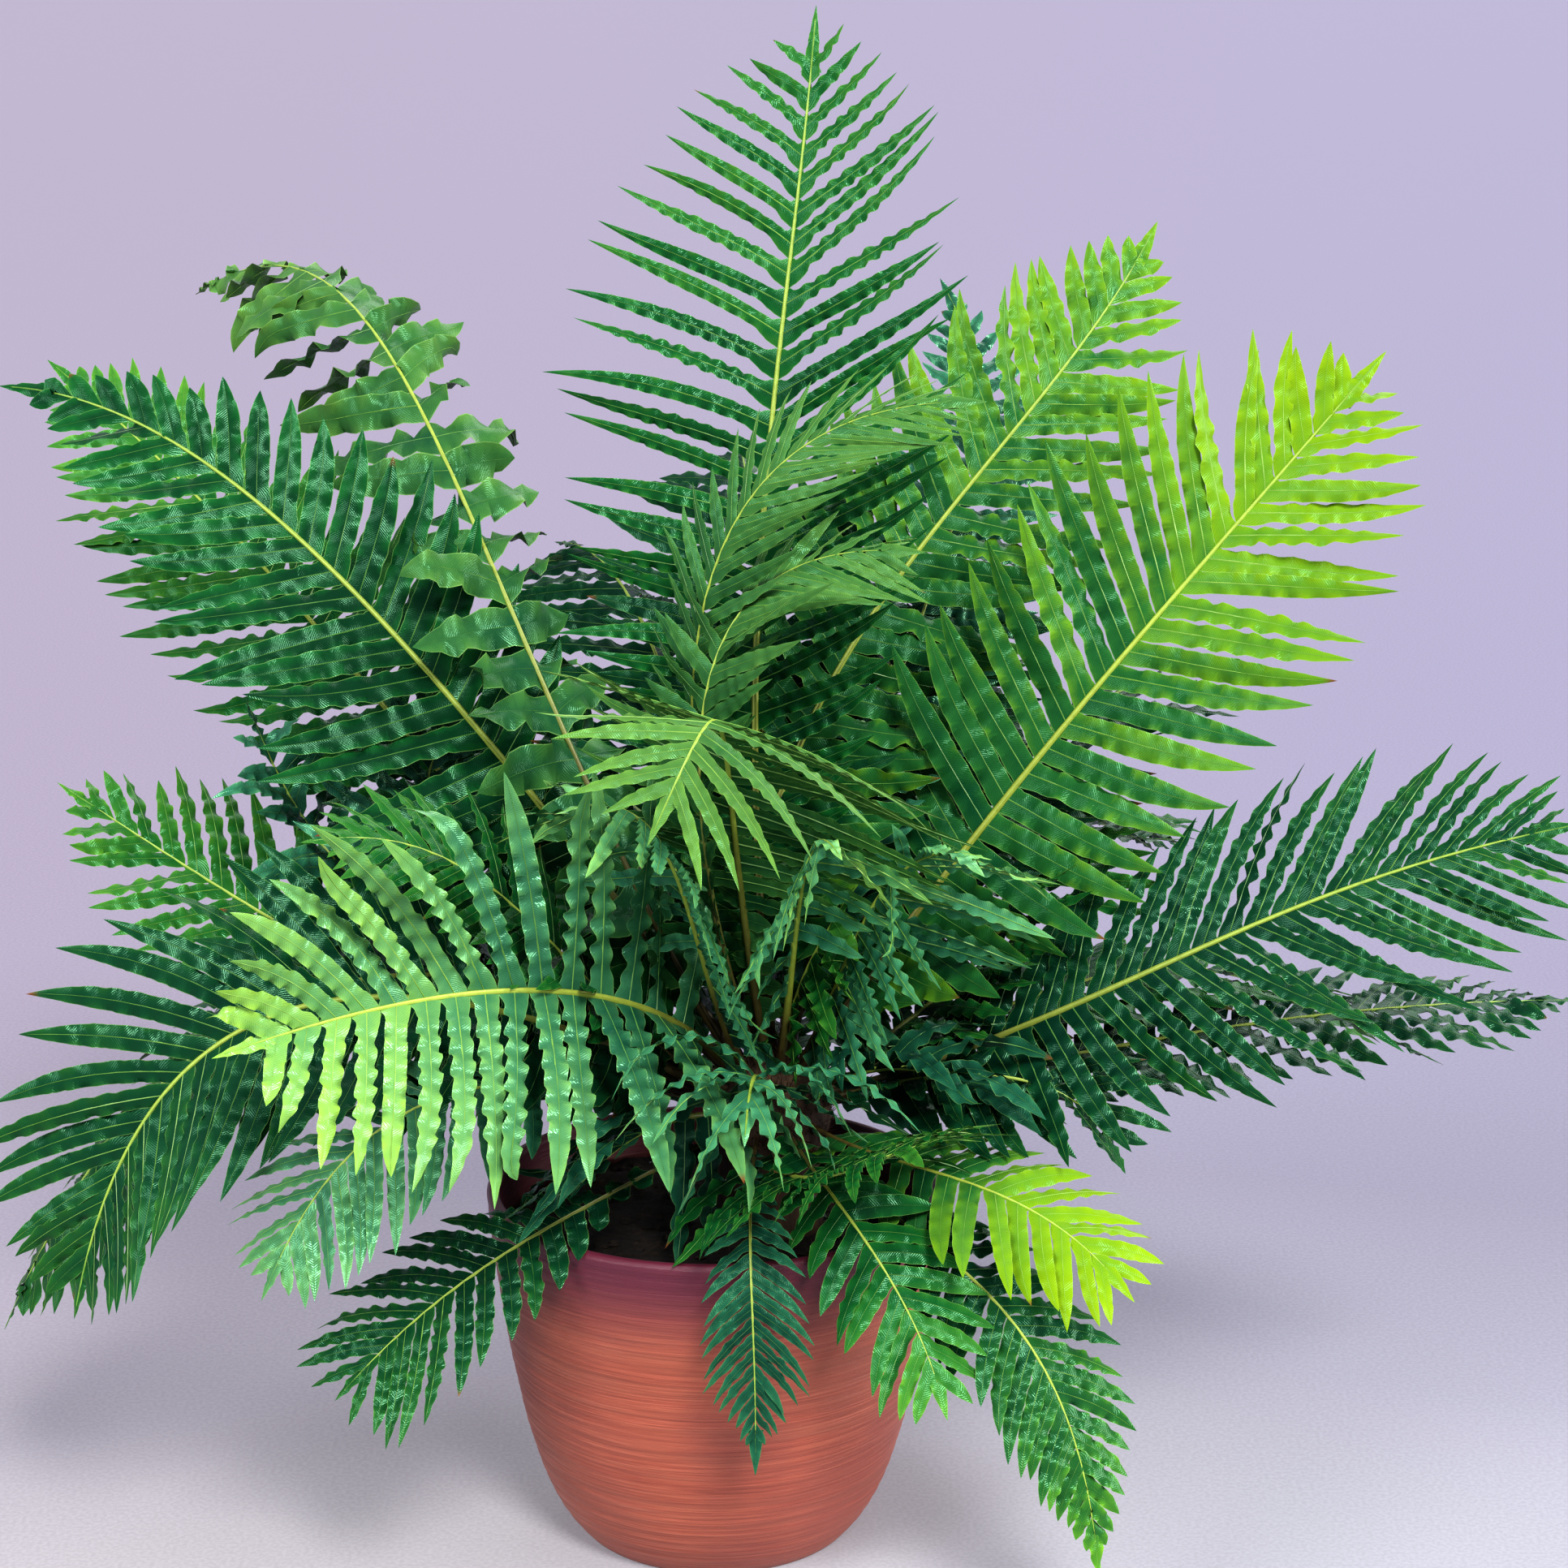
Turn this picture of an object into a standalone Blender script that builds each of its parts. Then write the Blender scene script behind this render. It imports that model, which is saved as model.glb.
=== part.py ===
"""Potted silver lady fern: arching feather-shaped fronds on a short scaly crown, in a
turned clay pot filled with soil.

Units are metres and +Z is up. The pot's foot stands on z = 0 with its axis on the Z axis.
"""

import math
from collections import namedtuple

import bmesh
import bpy
import numpy as np
from mathutils.bvhtree import BVHTree

# Pot, turned on a wheel: outer radius at each height, foot to lip.
POT_OUTER = [
    (0.0725, 0.000),
    (0.0780, 0.005),
    (0.0870, 0.018),
    (0.0950, 0.036),
    (0.1035, 0.065),
    (0.1115, 0.105),
    (0.1175, 0.145),
    (0.1210, 0.175),
]
POT_HEIGHT = 0.195
RIM_RADIUS = 0.1225
POT_WALL = 0.007
POT_FLOOR = 0.010
FLOOR_CORNER = 0.004
INNER_HEIGHTS = (0.014, 0.050, 0.100, 0.150)
LIP_ARC = (180, 120, 60, 0)
TURN_STEPS = 32
CROWN_STEPS = 28

# Soil, filled to a little under the lip, with a plain hole for the crown.
SOIL_TOP = 0.172
SOIL_MOUND = 0.004
SOIL_CREST = 0.055
SOIL_BEVEL = 0.012
SOIL_DROP = 0.006
HOLE_STEPS = 24
HOLE_DEPTH = 0.1
FIT_GAP = 0.0003

# Crown: the fern's short upright rootstock, which all stems grow from.
CROWN = np.array((0.030, -0.010, 0.238))
CROWN_RADIUS = 0.032
CROWN_FOOT = 0.125
CROWN_WAIST = 0.028
CROWN_COLLAR = 0.200
CROWN_SWELL = 1.005
CROWN_ARC = range(76, -30, -14)

# Seats of the stems on the crown, as directions from its middle.
SEAT_SPACING = 0.30
SEAT_PUSH = 0.4
SEAT_ROUNDS = 80
SEAT_LOWEST = -0.25
SEAT_FLATTEST = -5
SEAT_GAP = 0.0004

# Frond tissue: leaf thickness, stem width at the crown and at the tip, keel depth.
LEAF_THICKNESS = 0.0008
STEM_WIDTH = 0.0042
TIP_WIDTH = 0.0016
KEEL_DEPTH = 0.0026
KEEL_TAPER = 0.7
RIB_PARTS = 80
ROLL_PARTS = 28
BARE_STATIONS = 4
LEAFY_END = 0.98
STATION_EASE = 0.94

# Outline of the blade: half as wide at its foot, widest at WIDEST, drawn in to the tip.
WIDEST = 0.45
FOOT_SHARE = 0.5
TIP_TAPER = 0.97
TAPER_POWER = 2.2

# Leaflets: how far they turn along the rib, lift from it and clear of one another.
SWEEP_BASE = 24.0
SWEEP_TIP = 30.0
LEAFLET_LIFT = 12.0
LEAFLET_TWIST = 0.36
INNER_SHARE = 0.52
GAP_SHARE = 0.33
LENGTH_SHARE = 0.22
CLEARANCE = 0.0014
BENDS = (0, 10, -10, 20, -20, 32, -32, 45, -45)
CUTS = (1.0, 0.8, 0.6, 0.42)
OUTER_PART = 0.3
ROOT_PART = 0.02

Frond = namedtuple(
    "Frond",
    "name azimuth lean rise out reach height dive turn back width pairs bare roll sag tone",
)


def frond(name, azimuth, rise, reach, height, dive, width, pairs, tone, lean=0, turn=0,
          out=0.4, back=0.4, bare=0.17, roll=0, sag=0.3):
    """One frond. It leaves the crown at azimuth + lean, climbing at rise degrees, and its
    tip lies at reach and height (mm) along azimuth, heading down at dive degrees."""
    return Frond(name, azimuth, lean, rise, out, reach / 1000, height / 1000, dive, turn,
                 back, width / 1000, pairs, bare, roll, sag, tone)


# Azimuth 0 points to +X (right from the front), 90 to +Y (back), -90 to the front.
FRONDS = [
    # Tall and spreading fronds round the top.
    frond("top", 80, 82, 136, 802, -66, 108, 15, "mid", lean=60, out=.45, back=.3, bare=.24,
          sag=.08),
    frond("toward_front", -115, 80, 136, 425, 62, 125, 10, "mid", lean=-55, turn=-35, out=.9,
          back=.6, bare=.42, sag=.2),
    frond("high_right", 45, 78, 300, 680, -52, 90, 13, "lime", lean=90, back=.3, roll=35,
          sag=.12),
    frond("right", 20, 52, 347, 622, -46, 104, 13, "lime", roll=48, sag=.15),
    frond("broad_right", -8, 19, 411, 412, -14, 102, 14, "deep", bare=.14, roll=52, sag=.1),
    frond("low_right", 8, 8, 440, 280, 2, 66, 11, "deep", roll=10),
    frond("left", 160, 49, 443, 602, 0, 116, 14, "mid", out=.5, back=.25, roll=-48, sag=.12),
    frond("behind_left", 145, 40, 510, 592, -28, 85, 11, "mid", lean=20, bare=.25, roll=-40,
          sag=.2),
    frond("hooked_left", 130, 60, 545, 618, 24, 70, 12, "mid", lean=50, out=.45, bare=.25,
          sag=.5),
    frond("mid_left", 165, 10, 400, 388, -30, 78, 12, "mid", roll=-25, sag=.2),
    frond("dark_upright", 70, 76, 290, 640, -60, 60, 9, "deep", lean=-30, turn=100, out=.5,
          back=.25, bare=.3, sag=.2),
    # Arching and falling fronds on the left.
    frond("falling_left", 193, 30, 368, 160, 78, 100, 14, "deep", out=.5, back=.6, roll=-45,
          sag=.25),
    frond("far_left", 180, 34, 412, 118, 66, 84, 12, "deep", out=.5, back=.5, roll=-10),
    frond("front_left", 215, 56, 320, 333, 8, 118, 15, "lime", out=.2, back=.6, bare=.06,
          roll=-42, sag=.35),
    frond("small_left", 210, 20, 290, 196, 64, 62, 9, "lime", out=.45, back=.5, bare=.35,
          roll=-20, sag=.2),
    frond("rim_left", 208, -12, 247, 128, 42, 62, 9, "deep", lean=15, bare=.48, roll=-25),
    # Small fronds that hang over the lip.
    frond("front_drop", -93, -5, 142, 100, 82, 40, 7, "deep", out=.7, back=.5, bare=.4),
    frond("front_right", -62, 0, 185, 140, 60, 48, 9, "mid", lean=-20, roll=15, sag=.2,
          bare=.3),
    frond("bright_right", -40, -4, 232, 196, 40, 70, 9, "lime", lean=-15, bare=.3, roll=25),
    frond("rim_right", -44, -14, 230, 52, 82, 72, 11, "deep", lean=-12, out=.45, back=.55,
          bare=.3, roll=15),
    # Young fronds in the middle.
    frond("young_right", -5, 74, 104, 620, 0, 62, 9, "mid", lean=195, out=.6, back=.4,
          bare=.42, sag=.2),
    frond("young_low", -25, 70, 80, 548, 0, 58, 8, "mid", lean=240, out=.75, back=.4,
          bare=.5, sag=.2),
    frond("inner_left", 155, 25, 182, 465, -70, 70, 9, "deep", lean=25, turn=-150, out=.7,
          back=.5),
    frond("curled_left", 165, 25, 290, 440, -70, 80, 9, "deep", out=.55, sag=.6),
    frond("short_left", 195, 30, 240, 405, 5, 62, 9, "mid", roll=-20),
    frond("crinkled", -20, 84, 45, 365, -60, 60, 6, "mid", bare=.2, sag=.8),
    frond("inner_right", 20, 25, 185, 400, -55, 60, 8, "deep", out=.5),
    frond("short_front", -60, -15, 165, 275, -25, 75, 8, "mid", lean=-30, turn=40, bare=.12,
          sag=.6),
    frond("heart_left", -150, 62, 120, 420, 10, 78, 9, "deep", bare=.2),
    frond("heart_right", -35, 58, 130, 400, 5, 70, 8, "deep", bare=.2),
    frond("heart_front", -95, 34, 140, 275, 45, 80, 8, "deep", bare=.12, sag=.5),
    frond("mouth_left", -140, 14, 130, 225, 40, 70, 7, "deep", bare=.12, sag=.5),
    frond("mouth_right", -26, 30, 130, 262, 30, 66, 7, "deep", bare=.12, sag=.5),
    frond("heart_middle", -72, 64, 110, 410, 15, 78, 8, "deep", bare=.15, sag=.4),
    # Fronds behind, on the side that the front hides.
    frond("back_a", 95, 66, 210, 560, 0, 90, 10, "deep"),
    frond("back_b", 118, 62, 260, 500, 10, 85, 10, "deep"),
    frond("back_c", 62, 60, 280, 500, 10, 85, 10, "deep"),
    frond("back_d", 36, 50, 300, 430, 12, 85, 10, "deep"),
    frond("back_e", 140, 44, 330, 400, 18, 85, 10, "deep"),
    frond("back_f", 80, 40, 340, 380, 22, 95, 10, "mid"),
    frond("back_g", 52, 30, 370, 300, 34, 85, 10, "deep"),
    frond("back_h", 108, 30, 370, 300, 34, 90, 10, "deep"),
    frond("back_i", 152, 20, 360, 240, 50, 80, 10, "mid"),
    frond("back_j", 24, 18, 360, 220, 52, 80, 10, "mid"),
    frond("back_k", 84, 12, 350, 180, 60, 80, 10, "deep"),
    frond("back_l", 126, 4, 300, 150, 62, 70, 9, "deep"),
    frond("side_right", -18, 22, 190, 232, 68, 58, 9, "deep"),
]


def unit(vector):
    return vector / np.linalg.norm(vector)


def direction(azimuth, climb):
    a, c = math.radians(azimuth), math.radians(climb)
    return np.array((math.cos(a) * math.cos(c), math.sin(a) * math.cos(c), math.sin(c)))


def spread_seats(fronds):
    """Where each stem sits on the crown: under its own direction, pushed apart from the rest."""
    seats = np.array([direction(f.azimuth + f.lean, max(f.rise, SEAT_FLATTEST)) for f in fronds])
    for _ in range(SEAT_ROUNDS):
        apart = seats[:, None] - seats[None]
        distance = np.linalg.norm(apart, axis=2) + np.eye(len(seats))
        push = np.clip(SEAT_SPACING - distance, 0, None)[..., None] * apart / distance[..., None]
        seats = seats + SEAT_PUSH * push.sum(axis=1)
        seats[:, 2] = np.clip(seats[:, 2], SEAT_LOWEST, None)
        seats /= np.linalg.norm(seats, axis=1)[:, None]
    return seats


def rib_section(side, up, place):
    """Five corners of the rib about its centre, at place along it (0 to 1): flat above,
    keeled beneath."""
    width = 0.5 * (STEM_WIDTH + (TIP_WIDTH - STEM_WIDTH) * place)
    half = LEAF_THICKNESS / 2
    keel = half + KEEL_DEPTH * (1 - KEEL_TAPER * place)
    return [side * width + up * half, up * half - side * width, -side * width - up * half,
            -up * keel, side * width - up * half]


def stem_foot(f, seat, away):
    """Centre of the stem's foot, with the corner nearest the crown just off its surface."""
    level = direction(f.azimuth + 90, 0)
    side = unit(level - away * (level @ away))
    section = [*rib_section(side, np.cross(away, side), 0.0), np.zeros(3)]
    foot = CROWN + seat * CROWN_RADIUS
    for _ in range(4):
        nearest = min(np.linalg.norm(foot + corner - CROWN) for corner in section)
        foot = foot + seat * (CROWN_RADIUS + SEAT_GAP - nearest)
    return foot


def rib_curve(f, seat):
    """The rib's centre line as even points from the crown to the tip."""
    away = direction(f.azimuth + f.lean, f.rise)
    start = stem_foot(f, seat, away)
    tip = np.array((CROWN[0], CROWN[1], f.height)) + direction(f.azimuth, 0) * f.reach
    heading = direction(f.azimuth + f.turn, -f.dive)
    span = np.linalg.norm(tip - start)
    handles = (start, start + away * f.out * span, tip - heading * f.back * span, tip)
    t = np.linspace(0, 1, 2 * RIB_PARTS + 1)[:, None]
    weights = ((1 - t) ** 3, 3 * (1 - t) ** 2 * t, 3 * (1 - t) * t ** 2, t ** 3)
    line = sum(w * h for w, h in zip(weights, handles))
    walked = np.r_[0, np.cumsum(np.linalg.norm(np.diff(line, axis=0), axis=1))]
    even = np.linspace(0, walked[-1], RIB_PARTS + 1)
    return np.stack([np.interp(even, walked, line[:, k]) for k in range(3)], axis=1)


def rib_frames(f, line):
    """Tangent, side and upper normal along the rib, the blade rolled by f.roll degrees."""
    along = np.gradient(line, axis=0)
    along /= np.linalg.norm(along, axis=1)[:, None]
    level = direction(f.azimuth + 90, 0)
    frames = []
    for i, t in enumerate(along):
        side = unit(level - t * (level @ t))
        up = np.cross(t, side)
        turn = math.radians(f.roll) * min(1.0, i / ROLL_PARTS)
        frames.append((t, side * math.cos(turn) + up * math.sin(turn),
                       up * math.cos(turn) - side * math.sin(turn)))
    return frames


def blade_outline(s):
    """Share of the blade's half width at s, from the lowest leaflet (0) to the tip (1)."""
    base = FOOT_SHARE + (1 - FOOT_SHARE) * math.sin(math.pi / 2 * min(s / WIDEST, 1))
    return base * (1 - TIP_TAPER * max(0.0, (s - WIDEST) / (1 - WIDEST)) ** TAPER_POWER)


def station_places(f):
    """Shares of the rib's length: a bare stem, then one interval for each leaflet pair."""
    bare = np.linspace(0, f.bare, BARE_STATIONS)
    shares = np.linspace(0, 1, f.pairs + 1) ** STATION_EASE
    leafy = f.bare + (LEAFY_END - f.bare) * shares
    return np.r_[bare, leafy[1:]]


class Rib:
    """Stations of one frond's rib: five corners each, from the stem's foot to its end."""

    def __init__(self, f, seat):
        line = rib_curve(f, seat)
        frames = rib_frames(f, line)
        places = station_places(f) * RIB_PARTS
        self.frond = f
        self.tip = line[-1]
        self.along, self.side, self.up = [], [], []
        self.corners = []
        for place in places:
            k = min(int(place), RIB_PARTS - 1)
            mix = place - k
            centre = line[k] * (1 - mix) + line[k + 1] * mix
            t, side, up = (unit(a * (1 - mix) + b * mix) for a, b in zip(frames[k], frames[k + 1]))
            self.corners.append([centre + c for c in rib_section(side, up, place / RIB_PARTS)])
            self.along.append(t)
            self.side.append(side)
            self.up.append(up)


def leaflet_points(rib, k, sign, bend, cut):
    """Two middle points and the tip of the leaflet on interval k, on the side of sign."""
    f = rib.frond
    s = (k - BARE_STATIONS + 1.5) / f.pairs
    t = unit(rib.along[k] + rib.along[k + 1])
    side = unit(rib.side[k] + rib.side[k + 1]) * sign
    up = unit(rib.up[k] + rib.up[k + 1])
    corner = 0 if sign > 0 else 1
    root = (rib.corners[k][corner] + rib.corners[k + 1][corner]) / 2 - up * LEAF_THICKNESS / 2
    chord = np.linalg.norm(rib.corners[k + 1][corner] - rib.corners[k][corner])
    sweep = math.radians(SWEEP_BASE + SWEEP_TIP * s ** 2)
    length = f.width * blade_outline(s) * cut / math.cos(sweep) ** 0.5
    lift = math.radians(LEAFLET_LIFT + bend)
    outward = (side * math.cos(lift) + up * math.sin(lift)) * math.cos(sweep) + t * math.sin(sweep)
    down = np.array((0, 0, -1.0))
    first = unit(outward + down * f.sag * 0.5)
    last = unit(outward + down * f.sag * 1.5)
    middle = root + first * length * INNER_SHARE
    tip = middle + last * length * (1 - INNER_SHARE)
    across = unit(t - first * (t @ first))
    face = np.cross(across, first) * sign
    half_width = min(chord * GAP_SHARE, length * LENGTH_SHARE)
    twist = LEAFLET_TWIST if k % 2 else -LEAFLET_TWIST
    reach = (across + face * twist) * half_width
    return middle + reach, middle - reach, tip, face


def leaflet_probe(rib, k, sign, points, root):
    """A thicker copy of the leaflet from the share root of its inner half outwards, for
    finding what it would touch."""
    ahead, behind, tip, face = points
    corner = 0 if sign > 0 else 1
    near = rib.corners[k][corner] * (1 - root) + behind * root
    far = rib.corners[k + 1][corner] * (1 - root) + ahead * root
    swell = face * (LEAF_THICKNESS / 2 + CLEARANCE)
    grow = unit(ahead - behind) * CLEARANCE
    past = tip + unit(tip - (ahead + behind) / 2) * CLEARANCE
    ring = (near - grow, behind - grow, past, ahead + grow, far + grow)
    corners = [p + swell for p in ring] + [p - swell for p in ring]
    faces = [(0, 4, 3), (0, 3, 1), (1, 3, 2), (5, 8, 9), (5, 6, 8), (6, 7, 8)]
    for i in range(5):
        j = (i + 1) % 5
        faces.append((i, j, 5 + j))
        faces.append((i, 5 + j, 5 + i))
    return BVHTree.FromPolygons([tuple(p) for p in corners], faces)


class Solid:
    """Corners and triangles of one closed body."""

    def __init__(self):
        self.points = []
        self.faces = []

    def add(self, point):
        self.points.append(tuple(float(v) for v in point))
        return len(self.points) - 1

    def quad(self, a, b, c, d):
        self.faces.append((a, b, c))
        self.faces.append((a, c, d))

    def tree(self):
        return BVHTree.FromPolygons(self.points, self.faces)


def rib_rings(solid, rib):
    """Adds the rib's corners and all its faces but the two edges that leaflets grow from."""
    rings = [[solid.add(p) for p in ring] for ring in rib.corners]
    for a, b in zip(rings, rings[1:]):
        solid.quad(a[0], a[1], b[1], b[0])
        solid.quad(a[2], a[3], b[3], b[2])
        solid.quad(a[3], a[4], b[4], b[3])
    foot, end, tip = rings[0], rings[-1], solid.add(rib.tip)
    solid.faces += [(foot[0], foot[4], foot[3]), (foot[0], foot[3], foot[2]),
                    (foot[0], foot[2], foot[1])]
    solid.faces += [(end[i], end[(i + 1) % 5], tip) for i in range(5)]
    return rings


def rib_edge(solid, rings, k, sign):
    """Closes the rib's edge on interval k where no leaflet grows."""
    a, b = rings[k], rings[k + 1]
    if sign > 0:
        solid.quad(a[4], a[0], b[0], b[4])
    else:
        solid.quad(a[1], a[2], b[2], b[1])


def add_leaflet(solid, rings, k, sign, points):
    """Grows a pointed leaflet out of the rib's edge: three triangles a face and its rim."""
    ahead, behind, tip, face = points
    top, under = (0, 4) if sign > 0 else (1, 2)
    a_top, b_top = rings[k][top], rings[k + 1][top]
    a_low, b_low = rings[k][under], rings[k + 1][under]
    half = face * LEAF_THICKNESS / 2
    m_top, n_top = solid.add(behind + half), solid.add(ahead + half)
    m_low, n_low = solid.add(behind - half), solid.add(ahead - half)
    end = solid.add(tip)
    solid.faces += [(a_top, b_top, n_top), (a_top, n_top, m_top), (m_top, n_top, end)]
    solid.faces += [(a_low, n_low, b_low), (a_low, m_low, n_low), (m_low, end, n_low)]
    solid.quad(a_top, m_top, m_low, a_low)
    solid.quad(b_top, b_low, n_low, n_top)
    solid.faces += [(m_top, end, m_low), (n_top, n_low, end)]


def bare_rib(rib):
    """The rib alone as a closed body, for keeping leaflets clear of it."""
    solid = Solid()
    rings = rib_rings(solid, rib)
    for k in range(len(rings) - 1):
        rib_edge(solid, rings, k, 1)
        rib_edge(solid, rings, k, -1)
    return solid


def cuts_neighbour(rib, k, sign, points, before):
    """True where the leaflet would cut the one before it on the same edge, at their roots."""
    if before is None:
        return False
    solid = Solid()
    rings = [[solid.add(p) for p in ring] for ring in rib.corners[k - 1:k + 2]]
    add_leaflet(solid, rings, 0, sign, before)
    count = len(solid.faces)
    add_leaflet(solid, rings, 1, sign, points)
    tree = solid.tree()
    for a, b in tree.overlap(tree):
        if a < count <= b and not set(solid.faces[a]) & set(solid.faces[b]):
            return True
    return False


def fitting_leaflet(rib, k, sign, blockers, own, before):
    """The first bend and length at which the leaflet is clear of everything near it."""
    for cut in CUTS:
        for bend in BENDS:
            points = leaflet_points(rib, k, sign, bend, cut)
            whole = leaflet_probe(rib, k, sign, points, ROOT_PART)
            outer = leaflet_probe(rib, k, sign, points, OUTER_PART)
            if any(whole.overlap(tree) for tree in blockers):
                continue
            if any(outer.overlap(tree) for tree in own):
                continue
            if not cuts_neighbour(rib, k, sign, points, before):
                return points
    return None


def join_trees(solids):
    """One search tree over several closed bodies."""
    points, faces = [], []
    for solid in solids:
        shift = len(points)
        points += solid.points
        faces += [tuple(i + shift for i in face) for face in solid.faces]
    return BVHTree.FromPolygons(points, faces)


def leafy_solid(rib, blockers):
    """The whole frond: its rib and every leaflet that fits, grown from base to tip."""
    solid = Solid()
    rings = rib_rings(solid, rib)
    own = []
    before = {1: None, -1: None}
    for k in range(len(rings) - 1):
        for sign in (1, -1):
            points = None
            if k >= BARE_STATIONS - 1:
                points = fitting_leaflet(rib, k, sign, blockers, own, before[sign])
            before[sign] = points
            if points is None:
                rib_edge(solid, rings, k, sign)
                continue
            add_leaflet(solid, rings, k, sign, points)
            own.append(leaflet_probe(rib, k, sign, points, OUTER_PART))
    return solid


def clear_scene():
    for item in list(bpy.data.objects):
        bpy.data.objects.remove(item, do_unlink=True)


def new_collection(name):
    group = bpy.data.collections.new(name)
    bpy.context.scene.collection.children.link(group)
    return group


def principled(name, colour, roughness):
    material = bpy.data.materials.new(name)
    material.use_nodes = True
    shader = material.node_tree.nodes["Principled BSDF"]
    shader.inputs["Base Color"].default_value = (*colour, 1.0)
    shader.inputs["Roughness"].default_value = roughness
    shader.inputs["Metallic"].default_value = 0.0
    material.diffuse_color = (*colour, 1.0)
    return material


def mesh_object(name, points, faces, material, group):
    mesh = bpy.data.meshes.new(name)
    mesh.from_pydata(points, [], faces)
    body = bmesh.new()
    body.from_mesh(mesh)
    bmesh.ops.recalc_face_normals(body, faces=body.faces)
    if body.calc_volume(signed=True) < 0:
        bmesh.ops.reverse_faces(body, faces=body.faces)
    body.to_mesh(mesh)
    body.free()
    mesh.materials.append(material)
    item = bpy.data.objects.new(name, mesh)
    group.objects.link(item)
    return item


def turned(name, profile, material, group, steps=TURN_STEPS):
    """A body of revolution about Z from (radius, height) points that end on the axis."""
    points = [(radius, 0.0, height) for radius, height in profile]
    mesh = bpy.data.meshes.new(name)
    mesh.from_pydata(points, [(i, i + 1) for i in range(len(points) - 1)], [])
    item = bpy.data.objects.new(name, mesh)
    group.objects.link(item)
    screw = item.modifiers.new("Turn", "SCREW")
    screw.steps = steps
    screw.render_steps = steps
    screw.use_merge_vertices = True
    screw.merge_threshold = 0.00005
    screw.use_smooth_shade = True
    mesh.materials.append(material)
    return item


def pot_inner(height):
    """Inner radius of the pot at a height: the outer profile less the wall."""
    heights = [h for _, h in POT_OUTER] + [POT_HEIGHT]
    radii = [r for r, _ in POT_OUTER] + [RIM_RADIUS]
    return float(np.interp(height, heights, radii)) - POT_WALL


def build_pot(group):
    inner = [(pot_inner(h), h) for h in INNER_HEIGHTS]
    roll = POT_WALL / 2
    lip = [(RIM_RADIUS - roll + roll * math.cos(a), POT_HEIGHT - roll + roll * math.sin(a))
           for a in (math.radians(d) for d in LIP_ARC)]
    floor = [(0.0, POT_FLOOR), (pot_inner(INNER_HEIGHTS[0]) - FLOOR_CORNER, POT_FLOOR)]
    outer = list(reversed(POT_OUTER)) + [(0.0, 0.0)]
    clay = principled("fired_clay", (0.36, 0.115, 0.058), 0.55)
    return turned("pot", floor + inner + lip + outer, clay, group)


def build_soil(group, cutters):
    """Potting soil, a low mound, with a round hole where the crown stands."""
    edge = pot_inner(SOIL_TOP - SOIL_DROP) - 3 * FIT_GAP
    sides = [(pot_inner(h) - FIT_GAP, h) for h in reversed(INNER_HEIGHTS)]
    foot = pot_inner(INNER_HEIGHTS[0]) - FLOOR_CORNER - FIT_GAP
    profile = [(0.0, SOIL_TOP + SOIL_MOUND), (SOIL_CREST, SOIL_TOP + 0.75 * SOIL_MOUND),
               (edge - SOIL_BEVEL, SOIL_TOP), (edge, SOIL_TOP - SOIL_DROP), *sides,
               (foot, POT_FLOOR + FIT_GAP), (0.0, POT_FLOOR + FIT_GAP)]
    earth = principled("potting_soil", (0.045, 0.03, 0.02), 0.95)
    soil = turned("soil", profile, earth, group)
    body = bmesh.new()
    radius = CROWN_WAIST + 2 * FIT_GAP
    bmesh.ops.create_cone(body, cap_ends=True, segments=HOLE_STEPS, depth=HOLE_DEPTH,
                          radius1=radius, radius2=radius)
    mesh = bpy.data.meshes.new("crown_hole")
    body.to_mesh(mesh)
    body.free()
    cutter = bpy.data.objects.new("crown_hole", mesh)
    cutter.location = (CROWN[0], CROWN[1], CROWN_FOOT + HOLE_DEPTH / 2)
    cutter.display_type = "WIRE"
    cutter.hide_render = True
    cutters.objects.link(cutter)
    hole = soil.modifiers.new("Crown hole", "BOOLEAN")
    hole.operation = "DIFFERENCE"
    hole.solver = "EXACT"
    hole.object = cutter
    return soil


def build_crown(group):
    """Rootstock: a column in the soil that widens to the dome that carries the stems."""
    low = CROWN_FOOT + FIT_GAP
    arcs = [math.radians(d) for d in CROWN_ARC]
    radius = CROWN_RADIUS * CROWN_SWELL
    dome = [(radius * math.cos(a), CROWN[2] + radius * math.sin(a)) for a in arcs]
    dome.insert(0, (0.0, CROWN[2] + radius))
    profile = dome + [(CROWN_WAIST, CROWN_COLLAR), (CROWN_WAIST, low), (0.0, low)]
    fibre = principled("crown_fibre", (0.07, 0.04, 0.02), 0.9)
    crown = turned("crown", profile, fibre, group, steps=CROWN_STEPS)
    crown.location = (CROWN[0], CROWN[1], 0.0)
    return crown


def body_tree(item):
    """Search tree over an object's finished surface, in world space."""
    depsgraph = bpy.context.evaluated_depsgraph_get()
    mesh = item.evaluated_get(depsgraph).to_mesh()
    points = [item.matrix_world @ v.co for v in mesh.vertices]
    return BVHTree.FromPolygons(points, [tuple(p.vertices) for p in mesh.polygons])


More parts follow.
